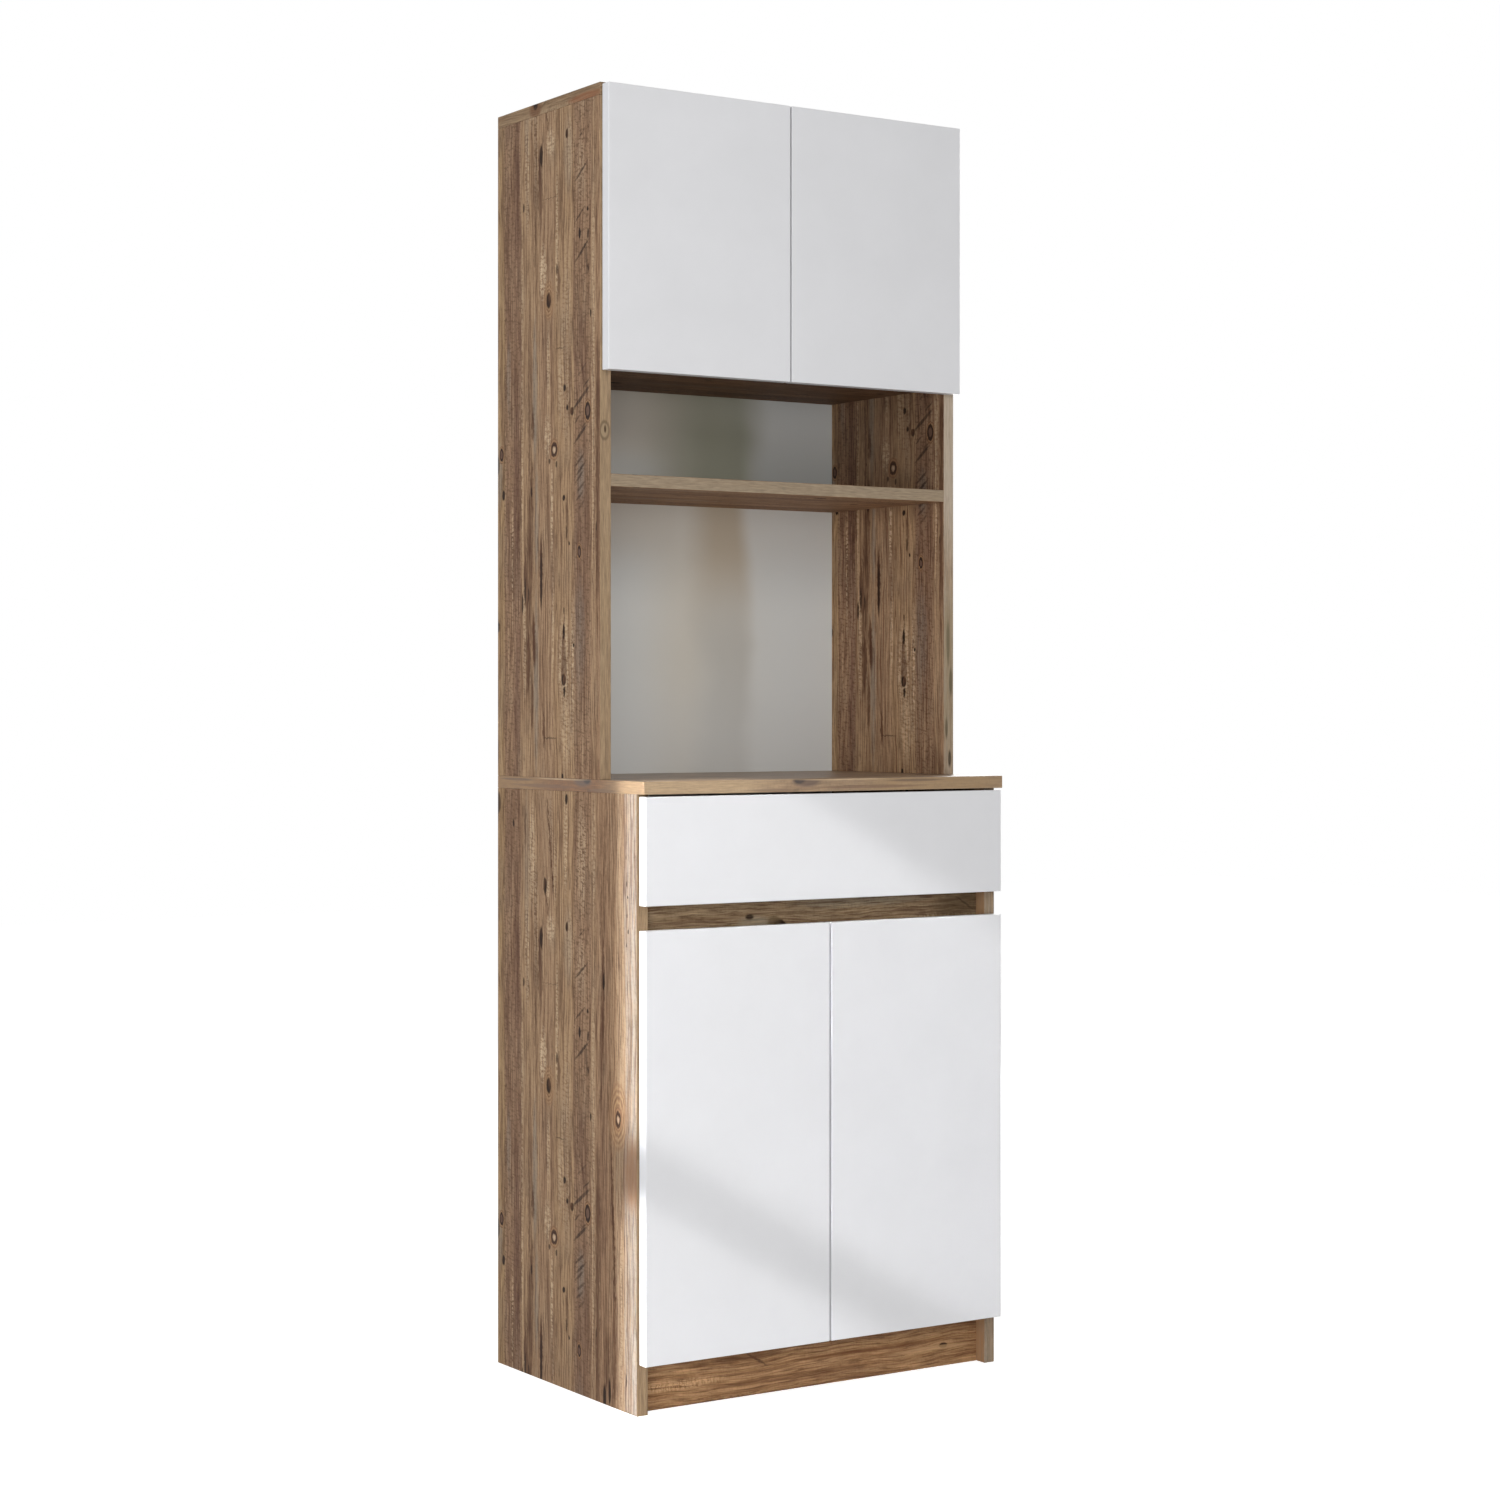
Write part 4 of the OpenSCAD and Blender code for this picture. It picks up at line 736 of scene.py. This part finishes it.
def cross_cut(form, reach, width, depth):
    """Sinks a cross for the driver into every head."""
    for face in driven_faces(form):
        outward = face.normal.copy()
        side = Vector((abs(round(outward.z)), abs(round(outward.x)), abs(round(outward.y))))
        other = outward.cross(side)
        middle = face.calc_center_bounds()
        cells = [face]
        for direction in (side, other):
            for far in (-reach, -width / 2, width / 2, reach):
                edges = {edge for cell in cells for edge in cell.edges}
                verts = {vert for cell in cells for vert in cell.verts}
                cut = bmesh.ops.bisect_plane(form, geom=cells + list(edges) + list(verts), dist=CUT_SNAP,
                                             plane_co=middle + direction * far, plane_no=direction)
                cells = [item for item in cut["geom"] if isinstance(item, bmesh.types.BMFace)]
        sunk = []
        for cell in cells:
            offset = cell.calc_center_median() - middle
            along, across = sorted((abs(offset.dot(side)), abs(offset.dot(other))), reverse=True)
            if along < reach and across < width / 2:
                sunk.append(cell)
        made = bmesh.ops.extrude_face_region(form, geom=sunk)
        bmesh.ops.delete(form, geom=sunk, context="FACES_KEEP_BOUNDARY")
        floor = [item for item in made["geom"] if isinstance(item, bmesh.types.BMVert)]
        bmesh.ops.translate(form, vec=outward * -depth, verts=floor)
    return form


# ---------------------------------------------------------------- the pieces

# Each rounding is the radius in mm, the steps and the shortest edge in mm.
BOARD_ROUNDING, SCREW_ROUNDING = (0.7, 2, 8), (0.12, 2, 0.2)
for node, board in BOARD_LOOKS.items():
    stands_for(node, rounded(merged(node), *BOARD_ROUNDING), pine_board(node, **board))

# Reach, width and depth of the driver's cross in a fastener's head, in mm.
CAM_CROSS, SCREW_CROSS, CUP_CROSS = (3.6, 1.5, 1.6), (1.8, 0.7, 0.6), (1.6, 0.7, 0.5)
# Nodes, rounding, material, smoothing angle in degrees, cross.
FINISHES = (
    ("upper_door_left upper_door_right lower_door_left lower_door_right drawer_front",
     (1.0, 3, 8), WHITE_FRONT, 0, None),
    ("drawer_side_left drawer_side_right drawer_back drawer_bottom", (0.5, 2, 8), WHITE_BOARD, 0, None),
    ("hutch_back_panel base_back_panel", (0.2, 1, 8), GREY_BACK, 0, None),
    ("hinge_arms hinge_mounting_plates", (0.25, 2, 0.6), NICKEL, 40, None),
    ("upper_left_hinge_cups upper_right_hinge_cups lower_left_hinge_cups lower_right_hinge_cups",
     (0.2, 2, 0.3), NICKEL, 40, None),
    ("shelf_pegs wall_brackets", (0.3, 2, 0.5), NICKEL, 40, None),
    ("runner_outer_left runner_middle_left runner_inner_left runner_outer_right runner_middle_right"
     " runner_inner_right", (0.25, 2, 0.6), RUNNER_STEEL, 40, None),
    ("door_buffers", (0.5, 3, 0.2), RUBBER, 50, None),
    ("cam_locks drawer_cams", SCREW_ROUNDING, ZINC, 40, CAM_CROSS),
    ("hinge_arm_screws mounting_plate_screws outer_runner_screws inner_runner_screws wall_bracket_screws"
     " drawer_back_screws", SCREW_ROUNDING, ZINC, 40, SCREW_CROSS),
    ("upper_left_cup_screws upper_right_cup_screws lower_left_cup_screws lower_right_cup_screws",
     SCREW_ROUNDING, ZINC, 40, CUP_CROSS),
    ("hutch_back_nails base_back_nails drawer_bottom_nails cam_bolts worktop_bolts drawer_cam_bolts hinge_pins",
     (0.2, 2, 0.1), ZINC, 40, None),
    ("dowels", (0.8, 2, 0.3), BEECH, 40, None),
)
for nodes, rounding, material, smooth, cross in FINISHES:
    for node in nodes.split():
        form = rounded(merged(node), *rounding)
        if cross:
            cross_cut(form, *(size * MM for size in cross))
        stands_for(node, form, material, smooth)

# ---------------------------------------------------------------- floor, light and camera

FLOOR_HALF = 9.0            # half of the floor's side, in metres
FLOOR_GLOW = 0.8
WORLD_LIGHT = 0.3           # the world's brightness as a light. Where it is seen, it is white.


def seen_directly(look):
    """1 for rays that show the backdrop itself, in the camera, in gloss or through clear rubber."""
    rays = look.node("LightPath").outputs
    kinds = ("Is Camera Ray", "Is Glossy Ray", "Is Transmission Ray")
    return strongest([Amount(look, rays[kind]) for kind in kinds])


def stage_floor():
    """A pale floor with a faint glow, so that it looks white outside the object's own soft shadow."""
    form = bmesh.new()
    bmesh.ops.create_grid(form, x_segments=1, y_segments=1, size=FLOOR_HALF)
    mesh = bpy.data.meshes.new("studio_floor")
    form.to_mesh(mesh)
    form.free()
    floor = bpy.data.objects.new("studio_floor", mesh)
    bpy.context.scene.collection.objects.link(floor)
    material, look, shader = new_finish("pale_studio_floor", Roughness=0.9, Base_Color=paint("DADADA"),
                                        Specular_IOR_Level=0.0)
    glow = look.node("Emission", None, {"Color": (1, 1, 1, 1), "Strength": seen_directly(look) * FLOOR_GLOW})
    both = look.node("AddShader", None, {0: shader.outputs[0], 1: glow.outputs[0]})
    look.tree.links.new(both.outputs[0], look.tree.nodes["Material Output"].inputs[0])
    floor.data.materials.append(material)


def studio_world():
    """An even white surround that lights the object only softly."""
    world = bpy.data.worlds.new("studio_world")
    bpy.context.scene.world = world
    world.use_nodes = True
    look = Look(world.node_tree)
    back = world.node_tree.nodes["Background"]
    back.inputs["Color"].default_value = (1, 1, 1, 1)
    look.tree.links.new(seen_directly(look).choose(1.0, WORLD_LIGHT).socket, back.inputs["Strength"])


def softbox(name, at, aim, width, height, power, colour, spread=180):
    """A rectangular lamp at one point that faces another. spread is the angle of its beam in degrees."""
    lamp = bpy.data.lights.new(name, "AREA")
    lamp.shape = "RECTANGLE"
    lamp.size, lamp.size_y = width, height
    lamp.energy, lamp.color, lamp.spread = power, colour, radians(spread)
    holder = bpy.data.objects.new(name, lamp)
    bpy.context.scene.collection.objects.link(holder)
    holder.location = at
    holder.rotation_euler = (Vector(aim) - Vector(at)).to_track_quat("-Z", "Y").to_euler()


SUN_LANE = (-0.37, -0.145)              # y of the beam's two sides where it meets the left side
SUN_TRAVEL = (1.0, 0.125, -0.57)        # to the right, a little towards the fronts, and down
SUN_DISTANCE = 1.4
SUN_COLOUR = (0.92, 0.93, 0.94)
SUN_SPREAD = 2.6                        # degrees
LEFT_SIDE = -0.31                       # x of the cabinet's left side


def low_sun(name, top, bottom, power):
    """A beam from the left that grazes the fronts and lights only the foremost strip of the left side.

    top and bottom are the heights where its edges meet the cabinet's left side. power is per square metre.
    """
    middle = Vector((LEFT_SIDE, sum(SUN_LANE) / 2, (top + bottom) / 2))
    travel = Vector(SUN_TRAVEL).normalized()
    level = travel.xy.length
    width, height = (SUN_LANE[1] - SUN_LANE[0]) * travel.x / level, (top - bottom) * level
    softbox(name, middle - travel * SUN_DISTANCE, middle, width, height, power * width * height,
            SUN_COLOUR, SUN_SPREAD)


WHITE, COOL = (1, 1, 1), (0.97, 1.0, 1.05)
# Each softbox: name, place and aim in metres, width, height, power in watts, colour.
SOFTBOXES = (
    ("key_softbox", (-2.4, -2.8, 0.8), (0, -0.2, 0.8), 1.5, 2.0, 47.5, WHITE),
    ("niche_softbox", (-0.8, -3.2, 1.2), (0, -0.1, 1.05), 0.8, 0.8, 8.6, WHITE),
    ("high_softbox", (-0.8, -2.6, 2.2), (0, -0.1, 1.0), 1.2, 0.8, 14.6, WHITE),
    ("left_softbox", (-3.5, 0.6, 1.4), (0, 0, 0.9), 2.0, 2.0, 33, COOL),
    ("rear_softbox", (2.8, 2.2, 1.5), (0, 0, 0.9), 2.0, 2.0, 36, WHITE),
)
stage_floor()
studio_world()
for box in SOFTBOXES:
    softbox(*box)
low_sun("low_sun_upper", 1.0, 0.389, 5.65)
low_sun("low_sun_lower", 0.299, -0.06, 5.3)

EYE_AT = (-2.3860, -3.6376, 0.9770)
EYE_HEADING = 33.266                    # degrees to the right of straight ahead
EYE_SENSOR, EYE_LENS, EYE_SHIFT = 36.0, 70.357, -0.03008
eye = bpy.data.cameras.new("photo_camera")
eye.sensor_width, eye.lens, eye.shift_y = EYE_SENSOR, EYE_LENS, EYE_SHIFT
camera = bpy.data.objects.new("photo_camera", eye)
bpy.context.scene.collection.objects.link(camera)
camera.location = EYE_AT
camera.rotation_euler = (radians(90), 0, radians(-EYE_HEADING))
bpy.context.scene.camera = camera
bpy.context.scene.view_settings.view_transform = "Standard"
